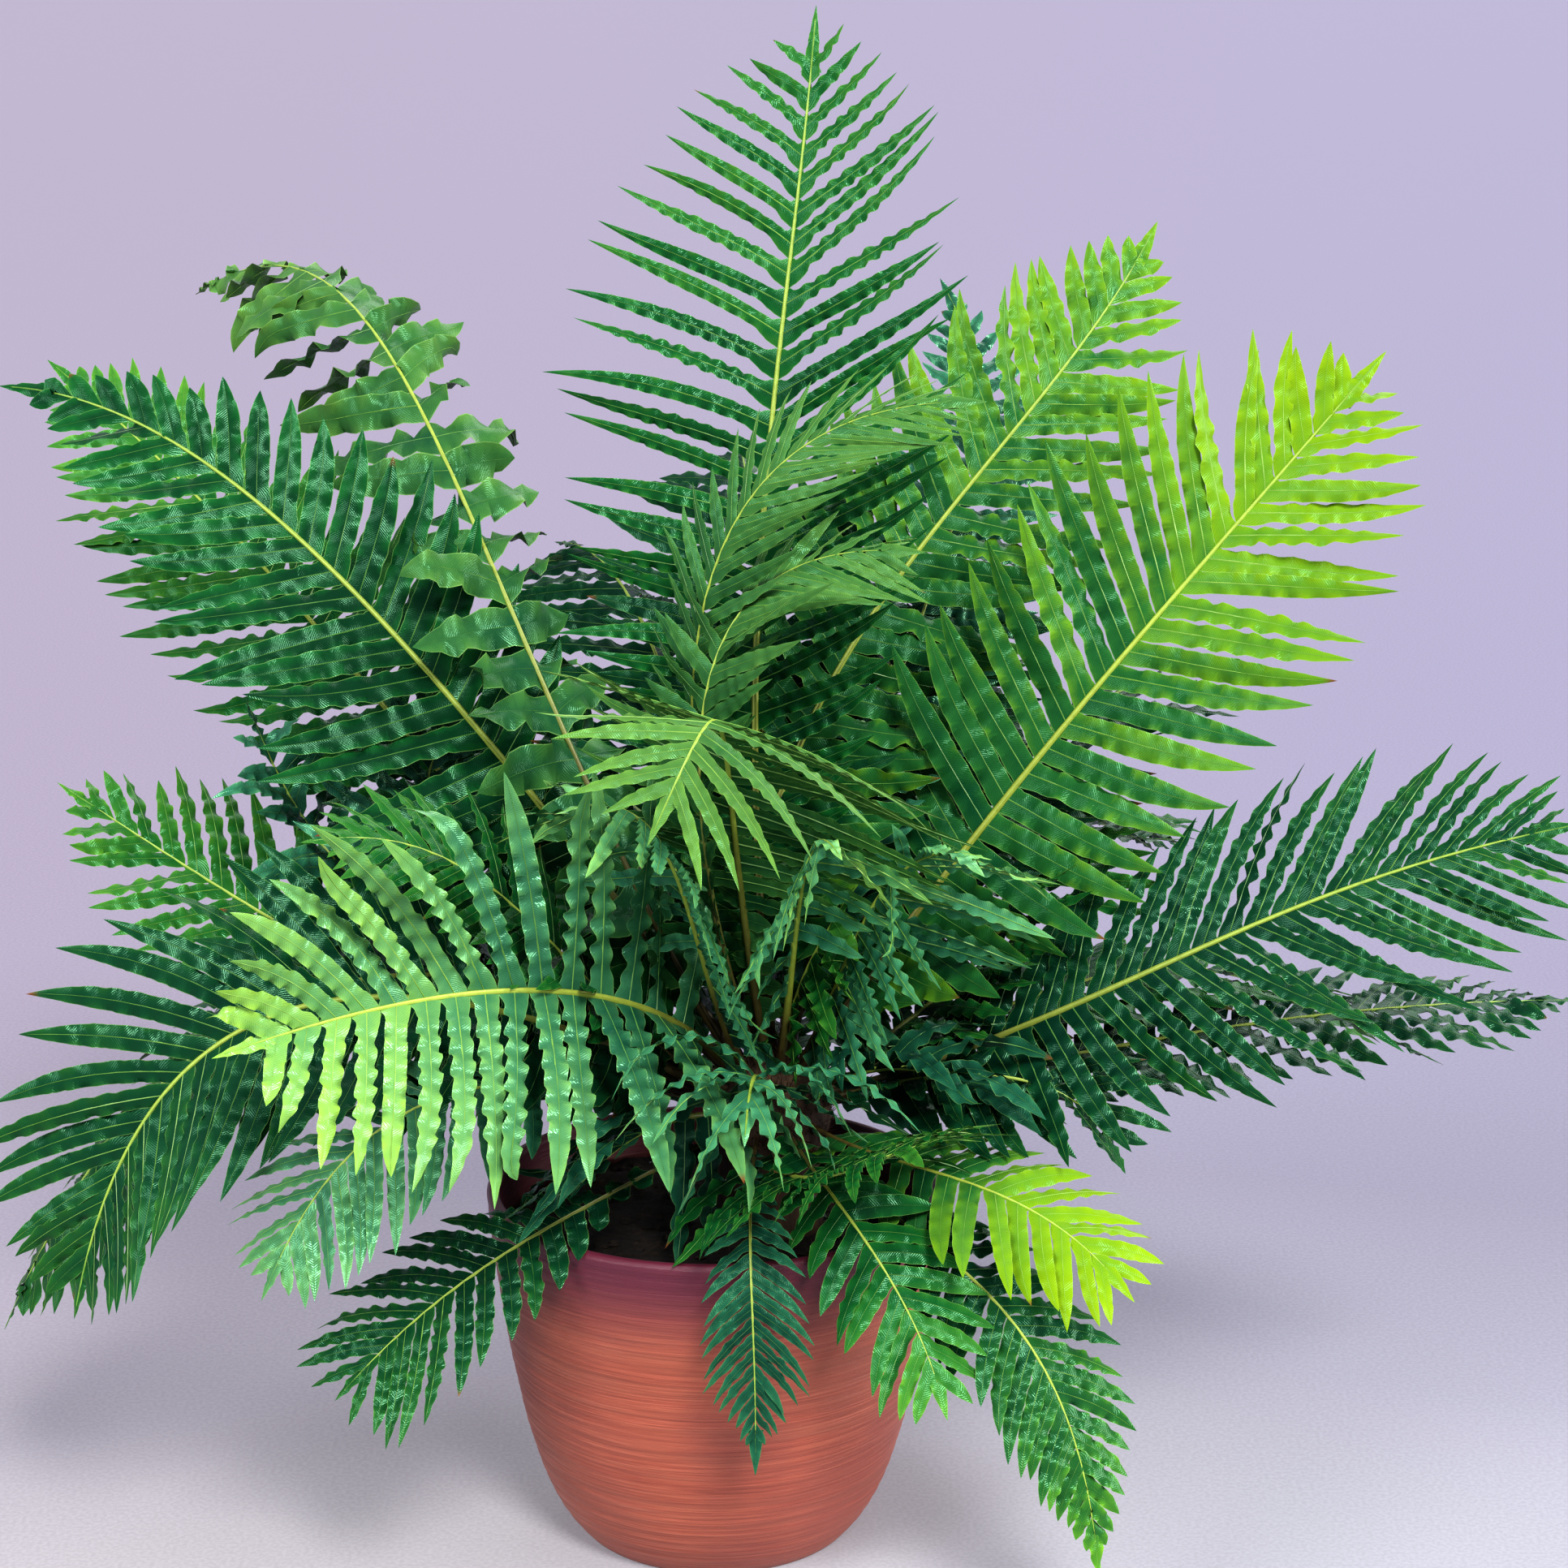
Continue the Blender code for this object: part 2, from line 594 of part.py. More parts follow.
def build_fronds(group, standing):
    """All fronds, each one bent clear of the ribs of all and of the leaflets before it."""
    greens = {
        "deep": principled("deep_green_leaf", (0.028, 0.11, 0.045), 0.42),
        "mid": principled("green_leaf", (0.07, 0.19, 0.055), 0.42),
        "lime": principled("lime_green_leaf", (0.22, 0.36, 0.055), 0.42),
    }
    seats = spread_seats(FRONDS)
    ribs = [Rib(f, seat) for f, seat in zip(FRONDS, seats)]
    bare = [bare_rib(rib) for rib in ribs]
    finished = []
    for i, rib in enumerate(ribs):
        blockers = standing + [join_trees(finished + bare[i + 1:])]
        solid = leafy_solid(rib, blockers)
        finished.append(solid)
        name = "frond_" + rib.frond.name
        mesh_object(name, solid.points, solid.faces, greens[rib.frond.tone], group)


def main():
    clear_scene()
    group = new_collection("potted_silver_lady_fern")
    cutters = new_collection("cutters")
    cutters.hide_render = True
    pot = build_pot(group)
    soil = build_soil(group, cutters)
    crown = build_crown(group)
    bpy.context.view_layer.update()
    build_fronds(group, [body_tree(pot), body_tree(soil), body_tree(crown)])


if __name__ == "__main__":
    main()
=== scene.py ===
# %% [markdown]
# # Potted silver lady fern
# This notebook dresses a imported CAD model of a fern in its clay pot. The CAD part already
# has the pot, the soil, the crown and one solid for each frond, with few and plain
# leaflets. Here each of them gets its real surface: leaflets with waved edges, veins and
# grooved ribs, a scaly crown, crumbly soil and turned clay. All lengths are in metres and
# +Z is up, as in the CAD.

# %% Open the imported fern
import math
from types import SimpleNamespace

import bpy
import numpy as np
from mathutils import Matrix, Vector, noise
from mathutils.bvhtree import BVHTree


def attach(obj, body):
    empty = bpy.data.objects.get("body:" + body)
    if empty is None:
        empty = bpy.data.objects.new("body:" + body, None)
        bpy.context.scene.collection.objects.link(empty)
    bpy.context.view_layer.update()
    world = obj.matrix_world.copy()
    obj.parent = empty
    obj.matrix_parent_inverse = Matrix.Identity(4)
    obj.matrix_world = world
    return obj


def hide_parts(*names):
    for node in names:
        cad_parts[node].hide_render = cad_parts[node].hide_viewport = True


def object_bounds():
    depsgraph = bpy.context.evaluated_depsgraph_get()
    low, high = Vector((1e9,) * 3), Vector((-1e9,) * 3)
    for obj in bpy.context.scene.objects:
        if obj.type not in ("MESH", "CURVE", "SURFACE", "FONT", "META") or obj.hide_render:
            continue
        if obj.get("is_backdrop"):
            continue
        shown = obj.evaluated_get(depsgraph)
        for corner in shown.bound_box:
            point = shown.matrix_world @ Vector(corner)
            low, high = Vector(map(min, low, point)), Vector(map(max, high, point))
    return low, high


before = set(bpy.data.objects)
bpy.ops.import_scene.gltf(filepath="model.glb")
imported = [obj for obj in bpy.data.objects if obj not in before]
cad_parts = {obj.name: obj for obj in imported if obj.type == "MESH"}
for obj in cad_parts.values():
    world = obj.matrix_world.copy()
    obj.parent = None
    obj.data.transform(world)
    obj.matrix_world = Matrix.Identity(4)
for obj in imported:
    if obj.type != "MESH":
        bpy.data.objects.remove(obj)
cad_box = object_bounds()
cad_nodes = sorted(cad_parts)
print(len(cad_nodes), "CAD nodes, box", [[round(v, 3) for v in corner] for corner in cad_box])

# %% [markdown]
# ## Camera
# The photograph was taken from a little above the pot, about two metres away, with a
# longish lens: the lip of the pot shows as a narrow ellipse, and near fronds are hardly
# larger than far ones. A camera can be placed by eye, but working out the place from a
# tilt, a distance and the point at the middle of the picture is easier to repeat.

# %% Place the camera
CAMERA_TILT = math.radians(15.0)
CAMERA_DISTANCE = 2.0
PICTURE_MIDDLE = Vector((0.037, 0.0, 0.4155))
SENSOR_WIDTH = 36.0
LENS = 87.88
VIEW_DEPTH = 100.0

toward_fern = Vector((0.0, math.cos(CAMERA_TILT), -math.sin(CAMERA_TILT)))
camera_data = bpy.data.cameras.new("camera")
camera_data.lens = LENS
camera_data.sensor_width = SENSOR_WIDTH
camera_data.clip_end = VIEW_DEPTH
camera = bpy.data.objects.new("camera", camera_data)
camera.location = PICTURE_MIDDLE - toward_fern * CAMERA_DISTANCE
camera.rotation_euler = (math.pi / 2 - CAMERA_TILT, 0.0, 0.0)
bpy.context.scene.collection.objects.link(camera)
bpy.context.scene.camera = camera
print("camera at", [round(v, 3) for v in camera.location])

# %% [markdown]
# ## Building materials from nodes
# Every finish here is a Principled shader fed by a few texture nodes. Writing each link by
# hand gets long, so small helpers add a node, join two sockets and build the patterns that
# come back in every finish: ramps, mixes, noise and bump. A value that stays the same over
# the whole surface is set on the shader itself.

# %% Helpers for materials
def new_material(name, **sockets):
    """An empty Principled material, with the constants given for its shader's sockets."""
    material = bpy.data.materials.new(name)
    material.use_nodes = True
    shader = material.node_tree.nodes["Principled BSDF"]
    for socket, value in sockets.items():
        shader.inputs[socket.replace("_", " ")].default_value = value
    return material, shader


def add_node(material, kind, inputs=None, **settings):
    """A node of one kind, its settings and the constants or links of its inputs."""
    node = material.node_tree.nodes.new(kind)
    for key, value in settings.items():
        setattr(node, key, value)
    for key, value in (inputs or {}).items():
        if isinstance(value, bpy.types.NodeSocket):
            material.node_tree.links.new(value, node.inputs[key])
        else:
            node.inputs[key].default_value = value
    return node


def join(material, out_socket, in_socket):
    material.node_tree.links.new(out_socket, in_socket)


print("helpers for shaders and nodes ready")

# %% Patterns that come back in every finish
def colour_ramp(material, factor, stops):
    """A colour ramp through (place, (red, green, blue)) stops."""
    node = add_node(material, "ShaderNodeValToRGB", {"Fac": factor})
    ramp = node.color_ramp
    while len(ramp.elements) < len(stops):
        ramp.elements.new(0.5)
    for element, (place, colour) in zip(ramp.elements, stops):
        element.position = place
        element.color = (*colour, 1.0)
    return node.outputs["Color"]


def mix_colours(material, factor, first, second, blend="MIX"):
    node = add_node(material, "ShaderNodeMix", data_type="RGBA", blend_type=blend)
    for socket, value in ((node.inputs[0], factor), (node.inputs[6], first),
                          (node.inputs[7], second)):
        if isinstance(value, bpy.types.NodeSocket):
            join(material, value, socket)
        elif isinstance(value, tuple):
            socket.default_value = (*value, 1.0)
        else:
            socket.default_value = value
    return node.outputs[2]


def multiply(material, first, second):
    return mix_colours(material, 1.0, first, second, "MULTIPLY")


def math_node(material, operation, first, second=0.0, third=0.0):
    inputs = {0: first, 1: second, 2: third}
    return add_node(material, "ShaderNodeMath", inputs, operation=operation).outputs[0]


def map_range(material, value, low, high, to_low=0.0, to_high=1.0):
    inputs = {"Value": value, "From Min": low, "From Max": high, "To Min": to_low,
              "To Max": to_high}
    return add_node(material, "ShaderNodeMapRange", inputs,
                    interpolation_type="SMOOTHSTEP").outputs["Result"]


def object_noise(material, scale, detail=3.0, roughness=0.5, squeeze=(1.0, 1.0, 1.0)):
    """Noise fixed to the object, squeezed along some axes."""
    place = add_node(material, "ShaderNodeTexCoord").outputs["Object"]
    mapped = add_node(material, "ShaderNodeMapping", {"Vector": place, "Scale": squeeze})
    inputs = {"Vector": mapped.outputs["Vector"], "Scale": scale, "Detail": detail,
              "Roughness": roughness}
    return add_node(material, "ShaderNodeTexNoise", inputs).outputs["Fac"]


def bump(material, height, distance, strength=1.0):
    inputs = {"Height": height, "Distance": distance, "Strength": strength}
    return add_node(material, "ShaderNodeBump", inputs).outputs["Normal"]


print("helpers for patterns ready")

# %% [markdown]
# ## Paper floor
# The fern stands on a wide sheet of pale lavender-grey paper. A flat plane that reaches far
# past the picture gives the same plain ground from every side, where a curved backdrop
# would hide the fern in a view from behind. A painted pool of light makes the paper lightest
# near the pot, and a painted tint of the light makes it a little warmer on the left and
# cooler on the right. Shadows on it are faint in the photograph. To keep them so, part of its
# brightness is a weak glow of its own, painted light which a shadow can't darken, and the
# light that it reflects is dimmed to make room for the glow.

# %% Lay the paper floor
FLOOR_HALF = 60.0
FLOOR_CORNERS = ((-1, -1), (1, -1), (1, 1), (-1, 1))
# Painted pool of light: the paper is lightest round this middle and darker further out.
PAINTED_LIGHT_POOL_MIDDLE = (0.1, -0.9, 0.0)
PAINTED_LIGHT_POOL_INNER = 0.8
PAINTED_LIGHT_POOL_OUTER = 2.4
PAPER_AND_PAINTED_POOL_STOPS = [(0.0, (0.380, 0.368, 0.390)), (0.10, (0.318, 0.301, 0.343)),
               (0.35, (0.262, 0.243, 0.297)), (1.0, (0.248, 0.222, 0.290))]
# Painted tint of the light: the paper is warmer on the left and cooler on the right.
PAINTED_WARM_LIGHT = (1.01, 0.99, 0.98)
PAINTED_COOL_LIGHT = (0.97, 1.0, 1.05)
PAINTED_TINT_SOFTNESS = 0.6
PAPER_SHADE = (0.72, 0.72, 0.72)
# Painted light: the paper glows a little, so that its shadows stay faint.
PAPER_GLOW = 0.36
# Noises are named by their scale, detail, roughness and squeeze, bumps by their depth in
# metres and strength.
PAPER_GRAIN = (420.0, 2.0)


def floor_material():
    material, shader = new_material("lavender_paper", Roughness=0.92, Specular_IOR_Level=0.2,
                                    Emission_Strength=PAPER_GLOW)
    place = add_node(material, "ShaderNodeTexCoord").outputs["Object"]
    offset = add_node(material, "ShaderNodeVectorMath", {0: place, 1: PAINTED_LIGHT_POOL_MIDDLE},
                      operation="SUBTRACT").outputs[0]
    distance = add_node(material, "ShaderNodeVectorMath", {0: offset},
                        operation="LENGTH").outputs["Value"]
    # Painted pool of light: the paper's colour lightens toward the pool's middle.
    tone = colour_ramp(material, map_range(material, distance, PAINTED_LIGHT_POOL_INNER, PAINTED_LIGHT_POOL_OUTER),
                       PAPER_AND_PAINTED_POOL_STOPS)
    across = add_node(material, "ShaderNodeSeparateXYZ", {"Vector": place}).outputs["X"]
    softened = math_node(material, "ADD", distance, PAINTED_TINT_SOFTNESS)
    sideways = math_node(material, "DIVIDE", across, softened)
    # Painted tint of the light, warm on the left and cool on the right.
    painted_light_tint = mix_colours(material, map_range(material, sideways, -0.22, 0.25), PAINTED_WARM_LIGHT, PAINTED_COOL_LIGHT)
    grain = map_range(material, object_noise(material, *PAPER_GRAIN), 0.3, 0.7, 0.93, 1.05)
    grey = add_node(material, "ShaderNodeCombineColor", {0: grain, 1: grain, 2: grain})
    colour = multiply(material, multiply(material, tone, painted_light_tint), grey.outputs[0])
    join(material, multiply(material, colour, PAPER_SHADE), shader.inputs["Base Color"])
    # The paper's colour is also emitted as glow: painted light that a shadow can't darken.
    join(material, colour, shader.inputs["Emission Color"])
    return material


floor_mesh = bpy.data.meshes.new("floor")
floor_mesh.from_pydata([(x * FLOOR_HALF, y * FLOOR_HALF, 0.0) for x, y in FLOOR_CORNERS], [],
                       [(0, 1, 2, 3)])
floor_mesh.materials.append(floor_material())
floor = bpy.data.objects.new("floor", floor_mesh)
bpy.context.scene.collection.objects.link(floor)
floor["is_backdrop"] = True
print("floor laid,", 2 * FLOOR_HALF, "m wide")

# %% [markdown]
# ## Light
# Very wide suns act as softboxes. A sun lights near and far paper alike, where an area light
# would leave a bright pool, and its width blurs the shadows and gives the leaflets their
# broad highlights. The key light comes from the front, high and a little from the right. A
# cooler fill stands on the left, a light from behind rims the tips, and a low one on the
# right reaches under the fronds to the side of the pot. A dim bluish sky fills the rest. A
# view with more contrast keeps the greens as deep as they are in the photograph.

# %% Light the studio
SOFT_LIGHTS = [
    ("key_from_right", (0.32, -1.00, 1.05), 3.4, 16.0, (1.0, 0.985, 0.96)),
    ("fill_from_left", (-0.85, -0.80, 0.80), 1.9, 28.0, (0.95, 0.97, 1.0)),
    ("rim_from_back", (0.30, 1.0, 1.00), 1.0, 40.0, (1.0, 1.0, 0.96)),
    ("low_from_right", (1.00, -0.24, 0.28), 2.7, 26.0, (1.0, 0.96, 0.92)),
]

SKY_COLOUR = (0.80, 0.82, 1.0)
SKY_STRENGTH = 0.58


def add_soft_light(name, comes_from, strength, spread, colour):
    light = bpy.data.lights.new(name, "SUN")
    light.energy = strength
    light.angle = math.radians(spread)
    light.color = colour
    lamp = bpy.data.objects.new(name, light)
    lamp.location = comes_from
    lamp.rotation_euler = Vector(comes_from).to_track_quat("Z", "Y").to_euler()
    bpy.context.scene.collection.objects.link(lamp)


for soft_light in SOFT_LIGHTS:
    add_soft_light(*soft_light)
world = bpy.data.worlds.new("studio")
world.use_nodes = True
sky = world.node_tree.nodes["Background"]
sky.inputs["Color"].default_value = (*SKY_COLOUR, 1.0)
sky.inputs["Strength"].default_value = SKY_STRENGTH
bpy.context.scene.world = world
bpy.context.scene.view_settings.view_transform = "Standard"
bpy.context.scene.view_settings.look = "Medium High Contrast"
print(len(SOFT_LIGHTS), "soft lights and a sky")

# %% [markdown]
# ## The fronds' places
# Each frond leaves the crown in its own direction, arches over and ends in a long tip. Its
# rib is a cubic Bezier curve, which needs only a start, an end and two headings. The rows
# below repeat the CAD's, so that every fine rib runs where its solid is, and add the looks
# that the CAD leaves out. A row names only what differs from the usual frond. Young fronds
# are bright and nearly flat, and old ones are dark and crisply waved.

# %% The crown and the usual frond
CROWN = np.array((0.030, -0.010, 0.238))
CROWN_RADIUS = 0.032
LEAF_THICKNESS = 0.0008
STEM_WIDTH = 0.0042
TIP_WIDTH = 0.0016
KEEL_DEPTH = 0.0026

USUAL_FROND = {
    # Rib: degrees that the stem leans and the tip turns aside, lengths of the curve's two
    # handles, share of the rib without full leaflets, degrees that the blade rolls over.
    "lean": 0, "turn": 0, "out": 0.4, "back": 0.4, "bare": 0.17, "roll": 0,
    # Outline: share of the width at the foot, how fast it falls below that and tapers
    # above, length of the right side against the left.
    "low": 0.72, "fall": 1.6, "taper": 2.2, "right": 1.0,
    # Leaflets: share of the space that they fill, share that narrows to the point, how
    # far they hang on both sides and on the left, degrees that they lean to the tip and
    # swing back near the stem, height of the ripple against the half width.
    "fill": 0.86, "point": 0.42, "sag": 0.3, "left_sag": 0, "sweep": 0, "reflex": 25,
    "ripple": 0.36,
    # Unevenness, curled ends, paleness of the frond and of its leaflets' tips, rows of
    # points to a ripple.
    "wild": 1.0, "curl": 0.12, "youth": 0.15, "tips": 0.2, "fine": 5,
}


def frond(name, azimuth, rise, reach, height, dive, width, tone, gap=0, **looks):
    """One frond. It leaves the crown at azimuth + lean, climbing at rise degrees, and its
    tip lies at reach and height (mm) along azimuth, heading down at dive degrees. Its
    leaflets stand gap mm apart, or at the usual spacing where gap is 0."""
    lengths = {"reach": reach / 1000, "height": height / 1000, "width": width / 1000,
               "gap": gap / 1000}
    return SimpleNamespace(name=name, azimuth=azimuth, rise=rise, dive=dive, tone=tone,
                           **{**USUAL_FROND, **looks, **lengths})


print("the usual frond has", len(USUAL_FROND), "values")

# %% [markdown]
# ## The table of fronds
# The places were read off the photograph, frond by frond, with the tip and the bend of each
# rib followed on the picture. Fronds that hide behind others, and the whole far side, are
# filled in evenly, as the plant would grow. A random scatter would be quicker to write, but
# wouldn't look like this plant. Azimuth 0 points to +X, right from the front, 90 to the back.

# %% Fill in the table
FRONDS = [
    # Tall and spreading fronds round the top.
    frond("top", 80, 82, 136, 802, -66, 108, "mid", lean=60, out=.45, back=.3, bare=.24,
          sag=.06, left_sag=.34, ripple=.34, fill=.68, point=.56, low=.62, youth=.30, tips=.14,
          fine=6),
    frond("toward_front", -115, 80, 136, 425, 62, 125, "soft", lean=-55, turn=-35, out=.9,
          back=.6, bare=.42, sag=.1, left_sag=.4, ripple=.20, low=.95, fall=3.2, fill=.88,
          point=.60, gap=11.5, right=.72, sweep=-18, youth=.46, tips=.18),
    frond("high_right", 45, 78, 300, 680, -52, 90, "lime", lean=90, back=.3, roll=35,
          sag=.12, ripple=.34, fill=1.0, point=.48, low=.8, youth=.42, tips=.22),
    frond("right", 20, 52, 347, 622, -46, 104, "lime", roll=48, sag=.15, ripple=.26,
          fill=.98, point=.50, low=.8, reflex=70, youth=.68, tips=.18),
    frond("broad_right", -8, 19, 411, 412, -14, 88, "deep", bare=.14, roll=52, sag=.1, sweep=6,
          ripple=.34, fill=.90, low=.85, gap=15.2, right=1.14, reflex=45, youth=.25, tips=.24,
          fine=6),
    frond("low_right", 8, 8, 440, 280, 2, 66, "deep", roll=10, ripple=.40, youth=.14),
    frond("left", 160, 49, 443, 602, 0, 112, "mid", out=.5, back=.25, roll=-48, sag=.12,
          ripple=.20, fill=.94, point=.42, low=.75, taper=1.1, gap=20, right=.74, youth=.09,
          tips=.12),
    frond("behind_left", 145, 40, 510, 592, -28, 85, "mid", lean=20, bare=.25, roll=-40,
          sag=.2, ripple=.34, youth=.42),
    frond("hooked_left", 130, 60, 545, 618, 24, 70, "soft", lean=50, out=.45, bare=.25,
          sag=.5, ripple=.44, fill=.96, gap=26, right=.66, wild=2.6, youth=.40, tips=.16,
          curl=1.3),
    frond("mid_left", 165, 10, 400, 388, -30, 78, "mid", roll=-25, sag=.2, ripple=.36,
          youth=.38, fine=6),
    frond("dark_upright", 70, 76, 290, 640, -60, 60, "heart_painted_sheen", lean=-30, turn=100, out=.5,
          back=.25, bare=.3, sag=.2, youth=.05),
    # Arching and falling fronds on the left.
    frond("falling_left", 193, 30, 368, 160, 78, 100, "deep", out=.5, back=.6, roll=-45,
          sag=.25, ripple=.24, fill=.94, low=.8, youth=.26, fine=6),
    frond("far_left", 180, 34, 412, 118, 66, 84, "deep", out=.5, back=.5, roll=-10,
          ripple=.28, fill=.92, youth=.34),
    frond("front_left", 215, 56, 320, 333, 8, 118, "fresh_and_painted_sheen", out=.2, back=.6, bare=.06,
          roll=-42, sag=.35, ripple=.36, fill=.78, point=.34, low=1.12, sweep=-13, reflex=40,
          youth=.68, tips=.30, curl=.5, fine=6),
    frond("small_left", 210, 20, 290, 196, 64, 62, "fresh_and_painted_sheen", out=.45, back=.5, bare=.35,
          roll=-20, sag=.2, ripple=.22, youth=.33, tips=.12),
    frond("rim_left", 208, -12, 247, 128, 42, 62, "deep", lean=15, bare=.48, roll=-25,
          ripple=.34, youth=.32, fine=6),
    # Small fronds that hang over the lip.
    frond("front_drop", -93, -5, 142, 100, 82, 40, "dim", out=.7, back=.5, bare=.4,
          ripple=.3, fill=.80, point=.6, taper=.9, gap=8.5, right=.9, youth=.12, tips=.30),
    frond("front_right", -62, 0, 185, 140, 60, 48, "mid", lean=-20, roll=15, sag=.2,
          bare=.3, ripple=.18, fill=.90, youth=.42),
    frond("bright_right", -40, -4, 232, 196, 40, 52, "lime", lean=-15, bare=.3, roll=25,
          ripple=.18, fill=.90, low=.9, right=1.15, youth=.80, tips=.30),
    frond("rim_right", -44, -14, 230, 52, 82, 54, "deep", lean=-12, out=.45, back=.55,
          bare=.3, roll=15, ripple=.34, fill=.92, taper=1.1, youth=.54, fine=6),
    # Young fronds in the middle.
    frond("young_right", -5, 74, 104, 620, 0, 42, "soft", lean=195, out=.6, back=.4,
          bare=.42, roll=52, sag=.2, ripple=.18, fill=.84, point=.58, low=.85, right=1.3,
          sweep=24, youth=.36, tips=.16),
    frond("young_low", -25, 70, 80, 548, 0, 40, "soft", lean=240, out=.75, back=.4,
          bare=.5, roll=56, sag=.2, ripple=.18, fill=.86, point=.58, low=.9, right=1.5,
          sweep=12, youth=.34, tips=.16),
    frond("inner_left", 155, 25, 182, 465, -70, 70, "heart_painted_sheen", lean=25, turn=-150, out=.7,
          back=.5, low=.9, youth=.12),
    frond("curled_left", 165, 25, 290, 440, -70, 80, "heart_painted_sheen", out=.55, sag=.6, ripple=.46,
          low=.9, wild=2.0, youth=.16, curl=.6),
    frond("short_left", 195, 30, 240, 405, 5, 62, "mid", roll=-20, ripple=.24, low=.9,
          youth=.3),
    frond("crinkled", -20, 84, 45, 365, -60, 66, "mid", bare=.2, sag=.8, ripple=.5, low=1,
          fill=1.1, gap=14, wild=2.0, youth=.42, curl=.9),
    frond("inner_right", 20, 25, 185, 400, -55, 72, "mid", out=.5, fill=.95, low=1, youth=.3),
    frond("short_front", -60, -15, 165, 275, -25, 80, "mid", lean=-30, turn=40, bare=.12,
          sag=.6, fill=.95, low=1, youth=.30, curl=.4),
    frond("heart_left", -150, 62, 120, 420, 10, 90, "heart_painted_sheen", bare=.2, sag=.6, fill=1.0,
          low=1, wild=1.2, youth=.54, tips=.34, curl=.5),
    frond("heart_right", -35, 58, 130, 400, 5, 84, "heart_painted_sheen", bare=.2, sag=.6, fill=1.0,
          low=1, wild=1.2, youth=.52, tips=.34, curl=.5),
    frond("heart_front", -95, 34, 140, 275, 45, 92, "heart_painted_sheen", bare=.12, sag=.9, fill=1.05,
          low=1, gap=15, wild=1.2, youth=.42, tips=.30, curl=.5),
    frond("mouth_left", -140, 14, 130, 225, 40, 80, "dim", bare=.12, sag=.8, fill=1.1,
          low=1, gap=14, youth=.10, curl=.4),
    frond("mouth_right", -26, 30, 130, 262, 30, 78, "dim", bare=.12, sag=.8, fill=1.1,
          low=1, gap=14, youth=.14, curl=.4),
    frond("heart_middle", -72, 64, 110, 410, 15, 90, "heart_painted_sheen", bare=.15, sag=.7, fill=1.0,
          low=1, gap=16, wild=1.2, youth=.58, tips=.34, curl=.5),
    # Fronds behind, on the side that the front hides.
    frond("back_a", 95, 66, 210, 560, 0, 90, "deep", youth=.12, fine=4),
    frond("back_b", 118, 62, 260, 500, 10, 85, "deep", youth=.1, fine=4),
    frond("back_c", 62, 60, 280, 500, 10, 85, "deep", youth=.1, fine=4),
    frond("back_d", 36, 50, 300, 430, 12, 85, "deep", youth=.15, fine=4),
    frond("back_e", 140, 44, 330, 400, 18, 85, "deep", youth=.15, fine=4),
    frond("back_f", 80, 40, 340, 380, 22, 95, "mid", youth=.35, fine=4),
    frond("back_g", 52, 30, 370, 300, 34, 85, "deep", youth=.2, fine=4),
    frond("back_h", 108, 30, 370, 300, 34, 90, "deep", youth=.2, fine=4),
    frond("back_i", 152, 20, 360, 240, 50, 80, "mid", youth=.3, fine=4),
    frond("back_j", 24, 18, 360, 220, 52, 80, "mid", youth=.3, fine=4),
    frond("back_k", 84, 12, 350, 180, 60, 80, "deep", youth=.25, fine=4),
    frond("back_l", 126, 4, 300, 150, 62, 70, "deep", youth=.2, fine=4),
    frond("side_right", -18, 22, 190, 232, 68, 58, "deep", youth=.15),
]
print(len(FRONDS), "fronds in the table")

# %% [markdown]
# ## Ribs
# A frond's rib is a stem at its foot and the frond's backbone further on. The curve, the
# seats on the crown and the roll of the blade are worked out as in the CAD. The three
# directions at each place, along the rib, to its side and up out of the blade, are kept in
# arrays, so that any place between two points can be read off by linear interpolation.

# %% Curves of the ribs
RIB_POINTS = 81
CURVE_POINTS = 161
ROLL_POINTS = 28
FOOT_ROUNDS = 4
SEAT_SPACING = 0.30
SEAT_GAP = 0.0004
SEAT_PUSH = 0.4
SEAT_ROUNDS = 80
SEAT_LOWEST = -0.25
SEAT_FLATTEST = -5


def unit(vector):
    return vector / np.linalg.norm(vector, axis=-1, keepdims=True)


def direction(azimuth, climb):
    a, c = math.radians(azimuth), math.radians(climb)
    return np.array((math.cos(a) * math.cos(c), math.sin(a) * math.cos(c), math.sin(c)))


def spread_seats(fronds):
    """Where each stem sits on the crown: under its own direction, pushed apart from the rest."""
    seats = np.array([direction(f.azimuth + f.lean, max(f.rise, SEAT_FLATTEST))
                      for f in fronds])
    for _ in range(SEAT_ROUNDS):
        apart = seats[:, None] - seats[None]
        distance = np.linalg.norm(apart, axis=2) + np.eye(len(seats))
        push = np.clip(SEAT_SPACING - distance, 0, None)[..., None] * apart / distance[..., None]
        seats = seats + SEAT_PUSH * push.sum(axis=1)
        seats[:, 2] = np.clip(seats[:, 2], SEAT_LOWEST, None)
        seats /= np.linalg.norm(seats, axis=1)[:, None]
    return seats


def stem_foot(f, seat, away):
    """Centre of the stem's foot, with its section's nearest corner just off the crown."""
    level = direction(f.azimuth + 90, 0)
    side = unit(level - away * (level @ away))
    up = np.cross(away, side)
    width, half = STEM_WIDTH / 2, LEAF_THICKNESS / 2
    section = [side * width + up * half, up * half - side * width, -side * width - up * half,
               -up * (half + KEEL_DEPTH), side * width - up * half, np.zeros(3)]
    foot = CROWN + seat * CROWN_RADIUS
    for _ in range(FOOT_ROUNDS):
        nearest = min(np.linalg.norm(foot + corner - CROWN) for corner in section)
        foot = foot + seat * (CROWN_RADIUS + SEAT_GAP - nearest)
    return foot


